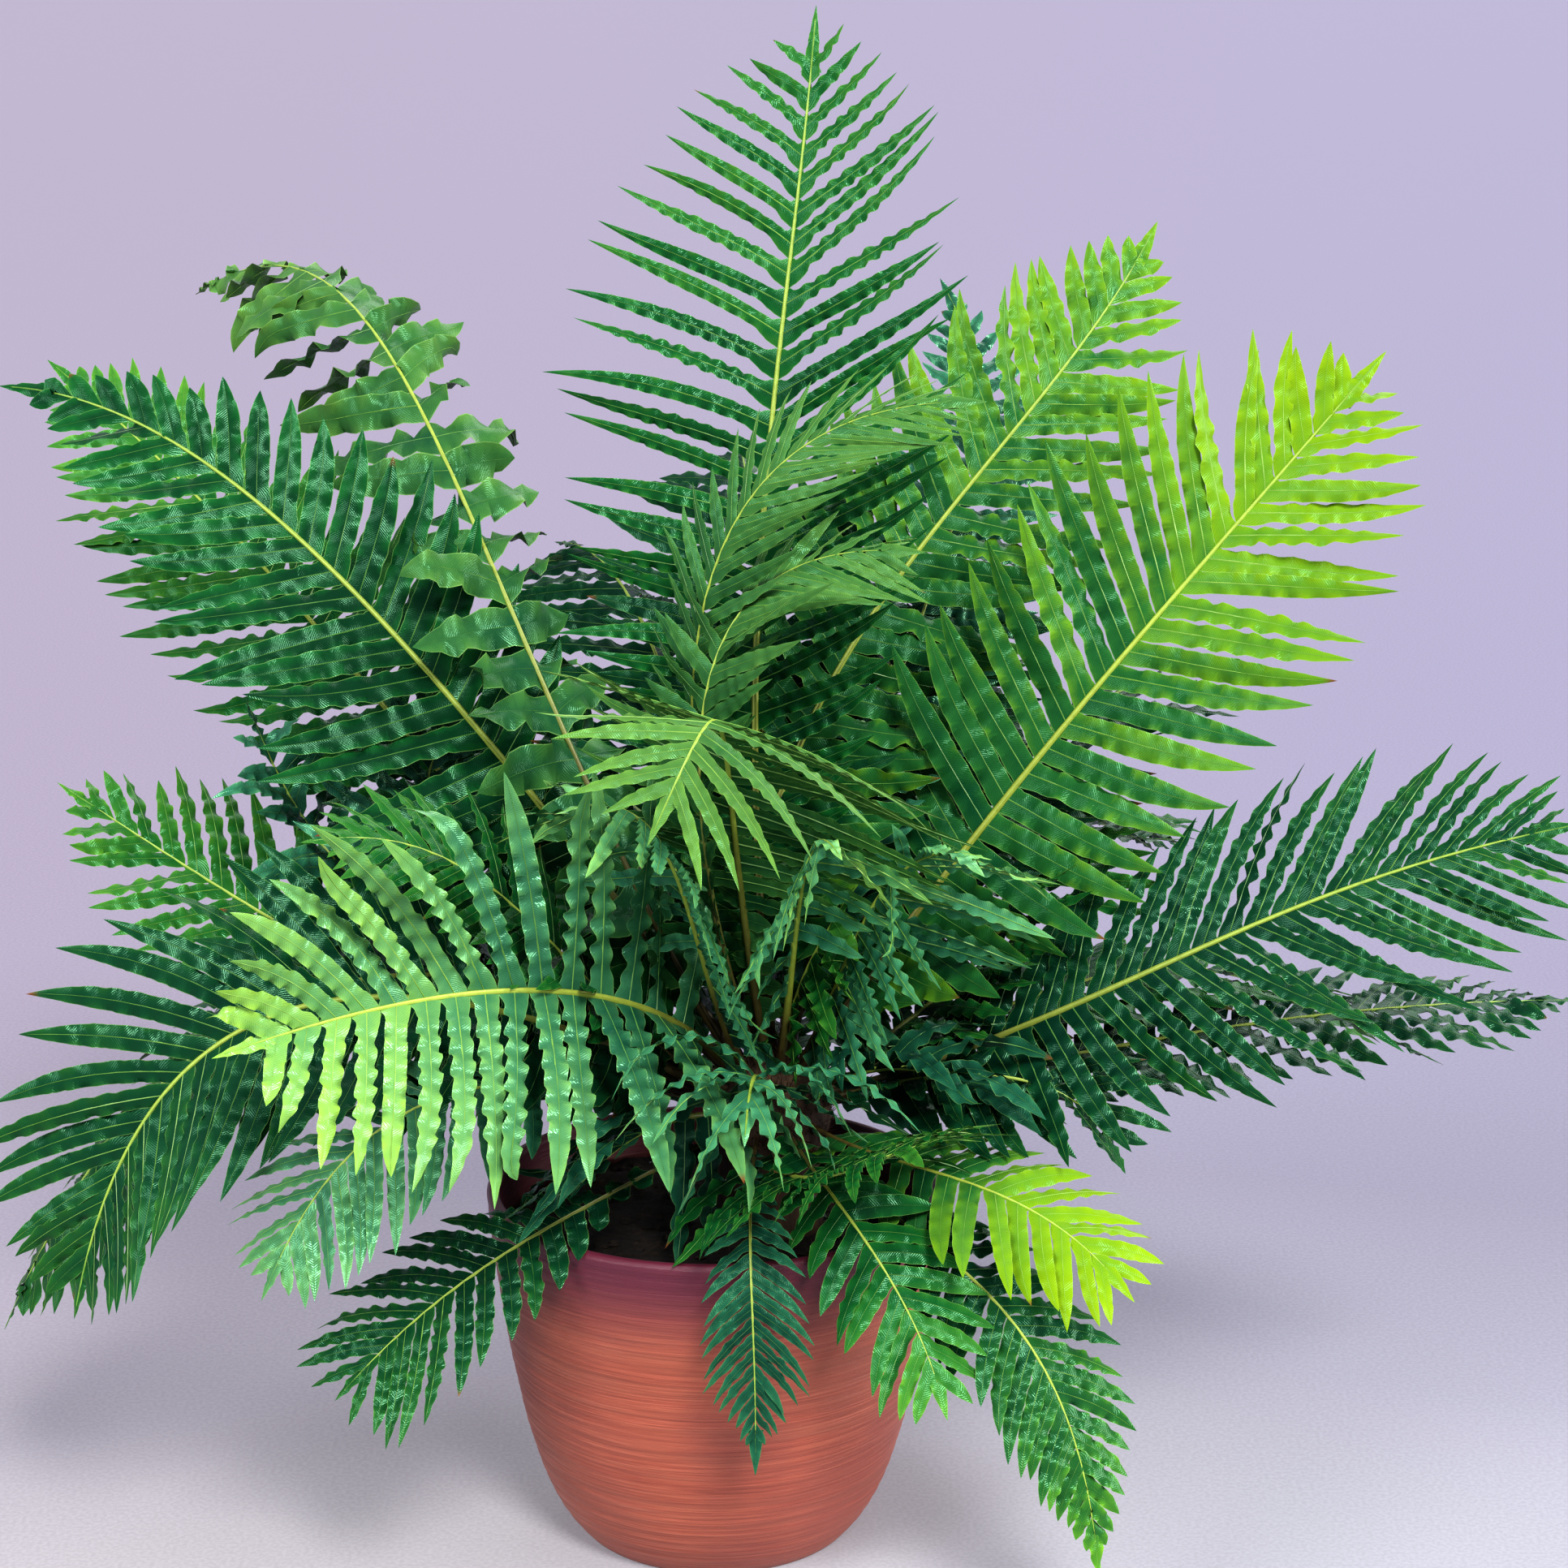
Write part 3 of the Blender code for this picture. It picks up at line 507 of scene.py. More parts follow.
def rib_curve(f, seat):
    """The rib's centre line as even points from the crown to the tip."""
    away = direction(f.azimuth + f.lean, f.rise)
    start = stem_foot(f, seat, away)
    tip = np.array((CROWN[0], CROWN[1], f.height)) + direction(f.azimuth, 0) * f.reach
    heading = direction(f.azimuth + f.turn, -f.dive)
    span = np.linalg.norm(tip - start)
    handles = (start, start + away * f.out * span, tip - heading * f.back * span, tip)
    t = np.linspace(0, 1, CURVE_POINTS)[:, None]
    weights = ((1 - t) ** 3, 3 * (1 - t) ** 2 * t, 3 * (1 - t) * t ** 2, t ** 3)
    line = sum(w * h for w, h in zip(weights, handles))
    walked = np.r_[0, np.cumsum(np.linalg.norm(np.diff(line, axis=0), axis=1))]
    even = np.linspace(0, walked[-1], RIB_POINTS)
    return np.stack([np.interp(even, walked, line[:, k]) for k in range(3)], axis=1)


class Rib:
    """Centre line of a frond with its directions, which can be read at any share of it."""

    def __init__(self, f, seat):
        self.frond = f
        self.line = rib_curve(f, seat)
        self.length = np.linalg.norm(np.diff(self.line, axis=0), axis=1).sum()
        self.along = unit(np.gradient(self.line, axis=0))
        level = direction(f.azimuth + 90, 0)
        side = unit(level - self.along * (self.along @ level)[:, None])
        up = np.cross(self.along, side)
        turn = np.radians(f.roll) * np.minimum(1.0, np.arange(RIB_POINTS) / ROLL_POINTS)[:, None]
        self.side = side * np.cos(turn) + up * np.sin(turn)
        self.up = up * np.cos(turn) - side * np.sin(turn)

    def at(self, place):
        """Centre, along, side and up at a share of the rib's length, or at many shares."""
        place = np.asarray(place)
        k = np.minimum((place * (RIB_POINTS - 1)).astype(int), RIB_POINTS - 2)
        mix = (place * (RIB_POINTS - 1) - k)[..., None]
        centre = self.line[k] * (1 - mix) + self.line[k + 1] * mix
        turned = [unit(a[k] * (1 - mix) + a[k + 1] * mix)
                  for a in (self.along, self.side, self.up)]
        return centre, *turned


ribs = [Rib(f, seat) for f, seat in zip(FRONDS, spread_seats(FRONDS))]
print("ribs from", round(min(r.length for r in ribs), 3), "to",
      round(max(r.length for r in ribs), 3), "m long")

# %% [markdown]
# ## Where the leaflets stand
# A real frond carries a pair of leaflets every 17 mm or so, closer near its tip, and they
# run down the stem as small lobes almost to the crown. The CAD has fewer and broader ones
# of the same length. A leaflet leans toward the tip of its frond, more so further out, and
# hangs a little. The lengths follow one smooth outline, so a frond reads as a feather.

# %% Spacing and outline of the leaflets
LEAFLET_SPACING = 0.0172
SMALL_SPACING = 0.0135
SMALL_WIDTH = 0.066
USUAL_WIDTH = 0.085
SMALL_LENGTH = 0.24
SPACING_EASE = 0.92
WIDEST = 0.45
TIP_TAPER = 0.97
STOUT_LEAST = 0.55
STOUT_MOST = 1.15
LOWEST_LEAFLET = 0.07
LEAST_LOBE = 0.12
LAST_LOBE = 0.36
LAST_LOBE_LEAST = 0.024
LAST_LOBE_MOST = 0.037
LOBE_OVERLAP = 0.58


def blade_outline(s, f):
    """Share of the blade's half width at s, from the CAD's lowest leaflet (0) to the tip (1)."""
    if s < 0:
        return max(LEAST_LOBE, f.low + f.fall * s)
    base = f.low + (1 - f.low) * math.sin(math.pi / 2 * min(s / WIDEST, 1))
    past = max(0.0, (s - WIDEST) / (1 - WIDEST))
    return base * (1 - TIP_TAPER * past ** f.taper)


def stoutness(f):
    """How thick the rib is against the usual one: small fronds have slender ribs."""
    return min(max(f.width / USUAL_WIDTH, STOUT_LEAST), STOUT_MOST)


def lobe_length(f):
    """Length of the pointed lobe that the frond ends in."""
    return min(max(LAST_LOBE * f.width, LAST_LOBE_LEAST), LAST_LOBE_MOST)


def leaflet_places(rib):
    """Shares of the rib's length where one leaflet pair ends and the next begins."""
    f = rib.frond
    small = f.width < SMALL_WIDTH or rib.length < SMALL_LENGTH
    spacing = f.gap or (SMALL_SPACING if small else LEAFLET_SPACING)
    lowest = min(f.bare, LOWEST_LEAFLET)
    highest = 1 - LOBE_OVERLAP * lobe_length(f) / rib.length
    count = round((highest - lowest) * rib.length / spacing)
    return lowest + (highest - lowest) * np.linspace(0, 1, count + 1) ** SPACING_EASE


pair_count = sum(len(leaflet_places(rib)) - 1 for rib in ribs)
print(pair_count, "pairs of leaflets to place")

# %% [markdown]
# ## The build of a leaflet
# A leaflet is a long blade with a raised midrib. Before it becomes a mesh, it is only a
# root, a heading that bends as it goes, and a length. No two are alike on a plant: each one
# draws its own small errors of angle, length, twist and curl. The draws come from a seeded
# generator, so the plant grows the same way every time. A few leaflets, and more on old
# fronds, get a browned tip.

# %% Root, headings and middle line of a leaflet
SWEEP_BASE = 24.0
SWEEP_TIP = 30.0
LEAFLET_LIFT = 12.0
REFLEX_END = 0.4
LEAFY_END = 0.98
ROOT_SHIFT = 0.30
SWEEP_SPREAD = 2.6
LENGTH_SPREAD = 0.05
LIFT_SPREAD = 4.0
TWIST_SPREAD = 13.0
CURL_SPREAD = 1.6
CURLED_SHARE = 0.5
FORWARD_MEAN = 0.16
FORWARD_SPREAD = 0.07
TINT_SPREAD = 0.06
WORN_SHARE = 0.05
WORN_MORE = 0.12
OLD_BELOW = 0.2
CURL_FROM = 0.62
TWISTED_BY = 0.2
SEAM_END = 0.09


def smooth_step(low, high, x):
    t = np.clip((x - low) / (high - low), 0.0, 1.0)
    return t * t * (3 - 2 * t)


class Leaflet:
    """Root, headings, length and frill of one leaflet before it is meshed."""

    def __init__(self, rib, low, high, sign, rng):
        f = rib.frond
        place = (low + high) / 2
        self.rib, self.sign, self.place = rib, sign, place
        centre, self.along, side, self.up = rib.at(place)
        self.out = side * sign
        self.chord = (high - low) * rib.length
        s = (place - f.bare) / (LEAFY_END - f.bare)
        hang = max(0.0, -self.out[2]) * f.reflex * max(0.0, 1 - max(s, 0) / REFLEX_END)
        sweep = SWEEP_BASE + f.sweep - hang + SWEEP_TIP * max(s, 0) ** 2
        self.sweep = math.radians(sweep + rng.normal(0, SWEEP_SPREAD * f.wild))
        self.sag = f.sag + (f.left_sag if sign > 0 else 0.0)
        self.full = f.width * blade_outline(s, f) / math.cos(self.sweep) ** 0.5
        self.full *= (1 + rng.normal(0, LENGTH_SPREAD * f.wild)) * (f.right if sign < 0 else 1)
        stem = (STEM_WIDTH + (TIP_WIDTH - STEM_WIDTH) * place) * min(1.0, stoutness(f))
        self.root = centre + self.out * stem * ROOT_SHIFT + self.up * LEAF_THICKNESS * ROOT_SHIFT
        self.jitter = rng.normal(0, LIFT_SPREAD * f.wild)
        self.twist = np.radians(rng.normal(0, TWIST_SPREAD * f.wild, 2))
        self.phase = rng.uniform(0, 2 * math.pi) + np.array((0.0, rng.normal(0, 1.0)))
        curled = rng.uniform() < CURLED_SHARE
        self.curl = f.curl * rng.normal(0, CURL_SPREAD) if curled else 0.0
        self.forward = rng.normal(FORWARD_MEAN, FORWARD_SPREAD)
        self.tint = rng.normal(0, TINT_SPREAD)
        self.worn = rng.uniform() < WORN_SHARE + WORN_MORE * (f.youth < OLD_BELOW)
        self.rough = rng.normal(0, 1, 64)
        self.point = f.point

    def headings(self, bend):
        """Outward direction at the root and at the tip, lifted by bend degrees."""
        lift = math.radians(LEAFLET_LIFT + bend + self.jitter)
        flat = self.out * math.cos(lift) + self.up * math.sin(lift)
        outward = flat * math.cos(self.sweep) + self.along * math.sin(self.sweep)
        down = np.array((0, 0, -self.sag))
        return unit(outward + down * 0.5), unit(outward + down * 1.5)

    def middle_line(self, bend, length, rows):
        """Shares of the length, centre points, and directions ahead and up from the face."""
        u = np.linspace(0, 1, rows + 1)[:, None]
        first, last = self.headings(bend)
        curl = self.up * self.curl * smooth_step(CURL_FROM, 1.0, u) ** 1.5
        heading = unit(first * (1 - u) + last * u + self.along * self.forward * u * u * 2 + curl)
        steps = (heading[1:] + heading[:-1]) / 2 * length / rows
        centre = self.root + np.vstack((np.zeros(3), np.cumsum(steps, axis=0)))
        level = unit(self.along - heading * (heading @ self.along)[:, None])
        normal = np.cross(level, heading) * self.sign
        angle = self.twist[0] * smooth_step(0, TWISTED_BY, u) + self.twist[1] * u
        ahead = level * np.cos(angle) + normal * np.sin(angle)
        face = normal * np.cos(angle) - level * np.sin(angle)
        seam = smooth_step(0.0, SEAM_END, u)
        return u[:, 0], centre, unit(self.along * (1 - seam) + ahead * seam), face


print("leaflets are twisted by", TWIST_SPREAD, "degrees or so")

# %% [markdown]
# ## The shape of a leaflet
# A leaflet widens at its root until it meets its neighbours, its tip is drawn out, and its
# two edges ripple like a frill, because the edge grows longer than the middle. A sine along
# each edge, which fades to nothing at the midrib, is that frill. Modelling it as mesh rather
# than as bump keeps the scalloped edge in the outline. Top and underside are separate sheets
# that meet in a thin edge, so each leaflet is a closed body. Rows of six points are enough:
# two edge points, three on top and one beneath.

# %% Outline and frill of a leaflet
POINT_POWER = 0.92
WAIST = 0.90
WAIST_SWELL = 0.10
WAIST_END = 0.7
FLARE_BEHIND = 0.13
FLARE_AHEAD = 0.07
SHORT_WIDTH = 0.6
CALM_ROOT = (0.03, 0.16)
CALM_TIP = 0.80
YOUNG_CALM = 0.25
DRIFT = 0.9
DRIFT_WAVES = 1.7
SURGE = 0.3
SURGE_WAVES = 2.6


def half_widths(leaflet, u, share):
    """Half width behind and ahead of the midrib at each row. The root flares backward."""
    full = leaflet.rib.frond.fill / 2 * leaflet.chord * math.cos(leaflet.sweep)
    taper = np.sin(np.pi / 2 * np.clip((1 - u) / leaflet.point, 0, 1)) ** POINT_POWER
    body = full * taper * (WAIST + WAIST_SWELL * np.sin(np.pi * np.clip(u / WAIST_END, 0, 1)))
    root = leaflet.chord * 0.5
    shrink = SHORT_WIDTH + (1 - SHORT_WIDTH) * share
    sides = [(body + (root - body) * (1 - smooth_step(0.0, flare, u))) * shrink
             for flare in (FLARE_BEHIND, FLARE_AHEAD)]
    widths = np.stack(sides, axis=1)
    widths[0] += root - root * shrink
    return widths


def frill(leaflet, u, waves, width):
    """Height of both edges at each row: a sine with slow drift and surge, calm at both ends."""
    f = leaflet.rib.frond
    calm_tip = smooth_step(CALM_TIP - YOUNG_CALM * f.youth, 1.0, u)
    calm = smooth_step(*CALM_ROOT, u) * (1 - calm_tip)
    u = u[:, None]
    drift = DRIFT * np.sin(2 * np.pi * (DRIFT_WAVES * u + leaflet.rough[:2]))
    swing = np.sin(2 * np.pi * waves * u + leaflet.phase + drift)
    surge = 1 + SURGE * np.sin(2 * np.pi * (SURGE_WAVES * u + leaflet.rough[2:4]))
    return f.ripple * width * calm[:, None] * (swing * surge)


print("the frill swells by", round(100 * SURGE), "% at most along an edge")

# %% Rows of points along one leaflet
RIPPLE_SHARE = 0.88
RIPPLE_LEAST = 0.0098
FEWEST_ROWS = 6
MOST_ROWS = 60
EDGE_PULL = 0.25
RAGGED = 0.02
FRILL_POWER = 1.6
DROOP = 0.10
BLADE_DEPTH = 0.00022
TIP_THINNING = 0.6
SECTION_ACROSS = np.array((-1.0, -0.58, 0.0, 0.58, 1.0, 0.0))
SECTION_DEPTH = np.array((0.0, 0.8, 1.0, 0.8, 0.0, -1.2))
TINY = 1e-6


def leaflet_points(leaflet, bend, share):
    """All points of a leaflet, its rows first and its tip last, with values for its colour."""
    f = leaflet.rib.frond
    length = leaflet.full * share
    waves = length / max(RIPPLE_LEAST, RIPPLE_SHARE * f.fill * leaflet.chord)
    rows = int(np.clip(round(waves * f.fine), FEWEST_ROWS, MOST_ROWS))
    u, centre, ahead, face = leaflet.middle_line(bend, length, rows)
    width = half_widths(leaflet, u, share)
    ripple = frill(leaflet, u, waves, width)
    edge = width * (1 - EDGE_PULL * (ripple / np.maximum(width, TINY)) ** 2)
    ragged = 1 + RAGGED * np.resize(leaflet.rough, rows + 1)
    across = np.abs(SECTION_ACROSS)
    behind = SECTION_ACROSS < 0
    reach = np.where(behind, edge[:, :1], edge[:, 1:]) * ragged[:, None] * SECTION_ACROSS
    lift = np.where(behind, ripple[:, :1], ripple[:, 1:]) * across ** FRILL_POWER
    droop = -DROOP * np.abs(reach) * across
    depth = BLADE_DEPTH * (1 - TIP_THINNING * u[:, None] ** 2) * SECTION_DEPTH
    points = centre[:, None] + ahead[:, None] * reach[..., None]
    points = points + face[:, None] * (lift + droop + depth)[..., None]
    # The crest value feeds the painted light and shade of the frill.
    crest = lift / np.maximum(np.where(behind, width[:, :1], width[:, 1:]), TINY)
    along = np.repeat(u[:, None] * length, len(across), 1)
    vein = np.stack((along, np.abs(reach), np.tile(across, (rows + 1, 1)), crest), axis=2)
    return points, vein, u, rows


print("a leaflet 100 mm long has up to", round(0.1 / RIPPLE_LEAST * 6), "rows of 6 points")

# %% [markdown]
# ## Faces of a leaflet
# The rows are always joined the same way, so the faces are worked out once for each number
# of rows and kept. The midrib is a slim diamond-shaped rod laid along the blade, proud of it
# on both sides. It is much cheaper than adding rows of points to the whole blade.

# %% Join rows into faces
def ring_faces(rows, size, order):
    """Quads between neighbouring rows of size points, along the strips named in order."""
    row = np.arange(rows - 1)[:, None] * size
    strips = [np.stack((row + a, row + b, row + size + b, row + size + a), axis=2)
              for a, b in order]
    return np.concatenate([s.reshape(-1, 4) for s in strips])


def round_strips(size):
    """Neighbouring points of a closed ring."""
    return [(j, (j + 1) % size) for j in range(size)]


def tube_faces(rows, size, first_pole, last_pole):
    """Quads of a tube of closed rings, and triangles that fan out from a pole at each end."""
    last = (rows - 1) * size
    first_fan = [(b, a, first_pole) for a, b in round_strips(size)]
    last_fan = [(last + a, last + b, last_pole) for a, b in round_strips(size)]
    return ring_faces(rows, size, round_strips(size)), np.array(first_fan + last_fan)


print("a tube of 2 rings of 4 points has", len(tube_faces(2, 4, 8, 9)[0]), "quads")

# %% Faces of a blade and its midrib
MIDRIB_ROWS = 9
MIDRIB_HALF = 0.00062
MIDRIB_PROUD = 0.00030
MIDRIB_TAPER = 0.75
known_blade_faces = {}


def blade_faces(rows):
    """Quads and triangles of a blade with this many rows and one tip point."""
    if rows not in known_blade_faces:
        strips = [(0, 1), (1, 2), (2, 3), (3, 4), (5, 0), (4, 5)]
        quads = ring_faces(rows, 6, strips)
        root = np.array(((0, 5, 2, 1), (5, 4, 3, 2)))
        last, tip = (rows - 1) * 6, rows * 6
        tris = np.array([(last + a, last + b, tip) for a, b in strips])
        known_blade_faces[rows] = (np.vstack((quads, root)), tris)
    return known_blade_faces[rows]


def midrib_mesh(centre, ahead, face, stout):
    """A tapering diamond rod along the blade's centre line, closed at both ends."""
    picks = np.linspace(0, len(centre) - 1, MIDRIB_ROWS + 1)
    k = np.minimum(picks.astype(int), len(centre) - 2)
    mix = (picks - k)[:, None]
    c, a, n = (v[k] * (1 - mix) + v[k + 1] * mix for v in (centre, ahead, face))
    thin = stout * (1 - MIDRIB_TAPER * np.linspace(0, 1, MIDRIB_ROWS + 1))[:, None]
    high = BLADE_DEPTH + MIDRIB_PROUD * thin
    rows = np.stack((c - a * MIDRIB_HALF * thin, c + n * high, c + a * MIDRIB_HALF * thin,
                     c - n * high * 1.5), axis=1)[:-1]
    points = np.vstack((rows.reshape(-1, 3), c[-1:]))
    quads = ring_faces(MIDRIB_ROWS, 4, round_strips(4))
    last, tip = (MIDRIB_ROWS - 1) * 4, MIDRIB_ROWS * 4
    tris = np.array([(last + a, last + b, tip) for a, b in round_strips(4)])
    return points, np.vstack((quads, [(0, 3, 2, 1)])), tris


print("midrib of", MIDRIB_ROWS, "rows")

# %% [markdown]
# ## Keeping leaflets apart
# Leaflets of different fronds grow past each other and push each other aside. To copy that,
# each leaflet is first tried as a thin flat plate. If the plate meets anything that is
# already placed, it is tried again bent up or down, then shorter, and left out if nothing
# helps. In the crowded heart of the plant wider bends are tried too. A search tree over the
# placed plates answers each try quickly. Starting from the bend of the leaflet before keeps
# neighbours in step, as they are on the plant.

# %% Plates that stand for leaflets
PLATE_HALF = 0.0009
PLATE_WIDTH = 0.8
PLATE_ROOT = 0.24
PLATE_FACES = [(0, 4, 3), (0, 3, 1), (1, 3, 2), (5, 8, 9), (5, 6, 8), (6, 7, 8)]
PLATE_FACES += [f for a, b in round_strips(5) for f in ((a, b, 5 + b), (a, 5 + b, 5 + a))]
RIB_PLATES = 26
RIB_PLATE_DEPTH = 1.4


def plate_points(leaflet, bend, share):
    """Five corners above and five below: root, middle and tip of the leaflet."""
    _, centre, ahead, face = leaflet.middle_line(bend, leaflet.full * share, 4)
    half = leaflet.rib.frond.fill / 2 * leaflet.chord * PLATE_WIDTH
    base = centre[0] + (centre[1] - centre[0]) * PLATE_ROOT
    ring = np.array((base - ahead[1] * half, centre[2] - ahead[2] * half, centre[4],
                     centre[2] + ahead[2] * half, base + ahead[1] * half))
    swell = face[2] * PLATE_HALF
    return np.vstack((ring + swell, ring - swell))


def rib_plates(rib):
    """A square tube round the whole rib, as points and triangles."""
    places = np.linspace(0.0, 1.0, RIB_PLATES)
    centre, _, side, up = rib.at(places)
    half = (STEM_WIDTH + (TIP_WIDTH - STEM_WIDTH) * places)[:, None] / 2
    rows = np.stack((centre - side * half, centre + up * half, centre + side * half,
                     centre - up * half * RIB_PLATE_DEPTH), axis=1)
    quads = ring_faces(RIB_PLATES, 4, round_strips(4))
    return rows.reshape(-1, 3), np.vstack((quads[:, [0, 1, 2]], quads[:, [0, 2, 3]]))


rib_shapes = [rib_plates(rib) for rib in ribs]
print("plates round", len(rib_shapes), "ribs")

# %% Find room for a leaflet
BENDS = (0, 8, -8, 16, -16, 26, -26, 38, -38)
CROWDED_BENDS = BENDS + (52, -52, 66)
CROWDED_TONES = ("heart_painted_sheen", "dim")
BEND_COST = 0.6
SHARES = (1.0, 0.84, 0.68, 0.54, 0.42)


def search_tree(shapes):
    """One search tree over many (points, triangles) shapes."""
    sizes = np.cumsum([0] + [len(points) for points, _ in shapes])
    points = np.vstack([points for points, _ in shapes])
    faces = np.vstack([np.asarray(faces) + shift for (_, faces), shift in zip(shapes, sizes)])
    return BVHTree.FromPolygons(points.tolist(), faces.tolist())


def node_tree(name):
    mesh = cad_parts[name].data
    corners = [vertex.co for vertex in mesh.vertices]
    return BVHTree.FromPolygons(corners, [tuple(face.vertices) for face in mesh.polygons])


def fit_leaflet(leaflet, blockers, last_bend):
    """The first bend and share of its length at which the leaflet's plate is clear."""
    bends = CROWDED_BENDS if leaflet.rib.frond.tone in CROWDED_TONES else BENDS
    order = sorted(bends, key=lambda b: abs(b - last_bend) + BEND_COST * abs(b))
    for share in SHARES:
        for bend in order:
            plate = plate_points(leaflet, bend, share)
            tree = BVHTree.FromPolygons(plate.tolist(), PLATE_FACES)
            if not any(tree.overlap(other) for other in blockers):
                return bend, share, plate
    return None


standing = [node_tree(name) for name in ("pot", "soil", "crown")]
print("search trees over", len(standing), "pieces that stand still")

# %% [markdown]
# ## Gathering a frond's mesh
# A frond is one piece: a grooved rib, its leaflets with their midribs, and dry scales at the
# foot of the stem. A small collector takes each part's points, faces, material and colour
# values, and turns them into one mesh at the end. Filling a mesh from arrays is far faster
# than adding faces one by one.

# %% A collector of mesh parts
SHARP_ANGLE = math.radians(75)


class Gatherer:
    """Collects points, quads and triangles with a material number and colour values."""

    def __init__(self):
        self.points, self.looks = [], []
        self.quads, self.tris = [], []
        self.quad_materials, self.tri_materials = [], []
        self.count = 0

    def add(self, points, quads, tris, material, looks=0.0, flip=False):
        """looks has 6 values a point: youth, vein along, vein across, edge, worn, place. On
        ribs, worn is 1 for a leaflet's midrib, and place tells how far up the frond it is."""
        turn = slice(None, None, -1) if flip else slice(None)
        self.points.append(points)
        self.looks.append(np.broadcast_to(looks, (len(points), 6)))
        for faces, kept, numbers in ((quads, self.quads, self.quad_materials),
                                     (tris, self.tris, self.tri_materials)):
            if len(faces):
                kept.append(np.asarray(faces)[:, turn] + self.count)
                numbers.append(np.full(len(faces), material))
        self.count += len(points)

    def mesh(self, name, materials):
        points, quads, tris = (np.vstack(part) for part in (self.points, self.quads, self.tris))
        mesh = bpy.data.meshes.new(name)
        mesh.vertices.add(len(points))
        mesh.vertices.foreach_set("co", points.astype(np.float32).ravel())
        corners = np.concatenate((quads.ravel(), tris.ravel())).astype(np.int32)
        mesh.loops.add(len(corners))
        mesh.loops.foreach_set("vertex_index", corners)
        starts = np.concatenate((np.arange(len(quads)) * 4,
                                 len(quads) * 4 + np.arange(len(tris)) * 3)).astype(np.int32)
        mesh.polygons.add(len(starts))
        mesh.polygons.foreach_set("loop_start", starts)
        numbers = np.concatenate(self.quad_materials + self.tri_materials).astype(np.int32)
        mesh.polygons.foreach_set("material_index", numbers)
        mesh.update(calc_edges=True)
        mesh.shade_smooth()
        mesh.set_sharp_from_angle(angle=SHARP_ANGLE)
        looks = np.vstack(self.looks).astype(np.float32)
        for label, columns in (("look", slice(0, 3)), ("wear", slice(3, 6))):
            layer = mesh.attributes.new(label, "FLOAT_VECTOR", "POINT")
            layer.data.foreach_set("vector", looks[:, columns].ravel())
        for material in materials:
            mesh.materials.append(material)
        return mesh


def place_piece(mesh, slot, *nodes):
    """Links a mesh as a piece that rides on the fern and stands for its CAD nodes."""
    piece = bpy.data.objects.new(mesh.name, mesh)
    bpy.context.scene.collection.objects.link(piece)
    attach(piece, "root")
    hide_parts(*nodes)
    return piece


print("collector ready")

# %% [markdown]
# ## The rib of a frond
# A fern's rib is round beneath and has a groove along its upper side. It tapers from a
# stout foot to a thread at the tip, and small fronds have slender ribs. A section of nine
# points, swept along the curve and scaled down as it goes, gives the groove and both
# shoulders. A Blender curve with a bevel would do too, but its section can't taper and carry
# colour values as easily.

# %% Sweep the grooved rib
RIB_SECTION = np.array(((0.50, 0.16), (0.26, 0.40), (0.09, 0.20), (-0.09, 0.20), (-0.26, 0.40),
                        (-0.50, 0.16), (-0.42, -0.34), (0.0, -0.62), (0.42, -0.34)))
RIB_ROWS = 72
RIB_STOP = 0.995
RIB_END = 0.0006
RIB_TAPER = 0.8
FOOT_SWELL = 0.0012
FOOT_REACH = 0.05
STEM_RIPENS = 0.12


def rib_width(place):
    foot = FOOT_SWELL * np.exp(-place / FOOT_REACH)
    return foot + RIB_END + (STEM_WIDTH - RIB_END) * (1 - place) ** RIB_TAPER


def sweep_rib(rib, gatherer, material):
    places = np.linspace(0.0, RIB_STOP, RIB_ROWS)
    centre, _, side, up = rib.at(places)
    width = rib_width(places)[:, None, None] * stoutness(rib.frond)
    rows = centre[:, None] + (side[:, None] * RIB_SECTION[None, :, :1]
                              + up[:, None] * RIB_SECTION[None, :, 1:]) * width
    size = len(RIB_SECTION)
    points = np.vstack((rows.reshape(-1, 3), centre[:1], rib.line[-1:]))
    quads, tris = tube_faces(RIB_ROWS, size, RIB_ROWS * size, RIB_ROWS * size + 1)
    looks = np.zeros((len(points), 6))
    looks[:, 0] = rib.frond.youth
    bare = rib.frond.bare
    ripe = np.interp(places, (0.0, bare, bare + STEM_RIPENS, 1.0),
                     (0.0, 0.5 * bare, bare + STEM_RIPENS, 1.0))
    looks[:, 5] = np.r_[np.repeat(ripe, size), 0.0, 1.0]
    gatherer.add(points, quads, tris, material, looks)


print("rib section of", len(RIB_SECTION), "points,", RIB_ROWS, "rows")

# %% [markdown]
# ## Scales and hairs
# The crown and the feet of the stems are covered in narrow brown scales, like coarse hair.
# Each one is a thin, pointed sliver with a three-sided root. Hair particles would look alike
# in a render, but they don't survive an export, so the scales are real, very small meshes.

# %% Slivers for scales
SLIVER_FACES = np.array(((0, 1, 3), (1, 2, 3), (2, 0, 3), (0, 2, 1)))
STEM_SCALES = 46
SCALE_REACH = 0.045
SCALE_HIGHEST = 0.3
SCALE_ROOT = 0.38
STEM_SCALE_LENGTHS = (0.003, 0.007)
STEM_SCALE_WIDTHS = (0.0006, 0.0011)


def sliver(gatherer, root, heading, outward, length, width, material, look):
    """A pointed scale from root along heading, lying against what outward points away from."""
    side = unit(np.cross(heading, outward))
    points = np.array((root - side * width / 2, root + outward * width * 0.25,
                       root + side * width / 2, root + heading * length))
    gatherer.add(points, [], SLIVER_FACES, material, look)


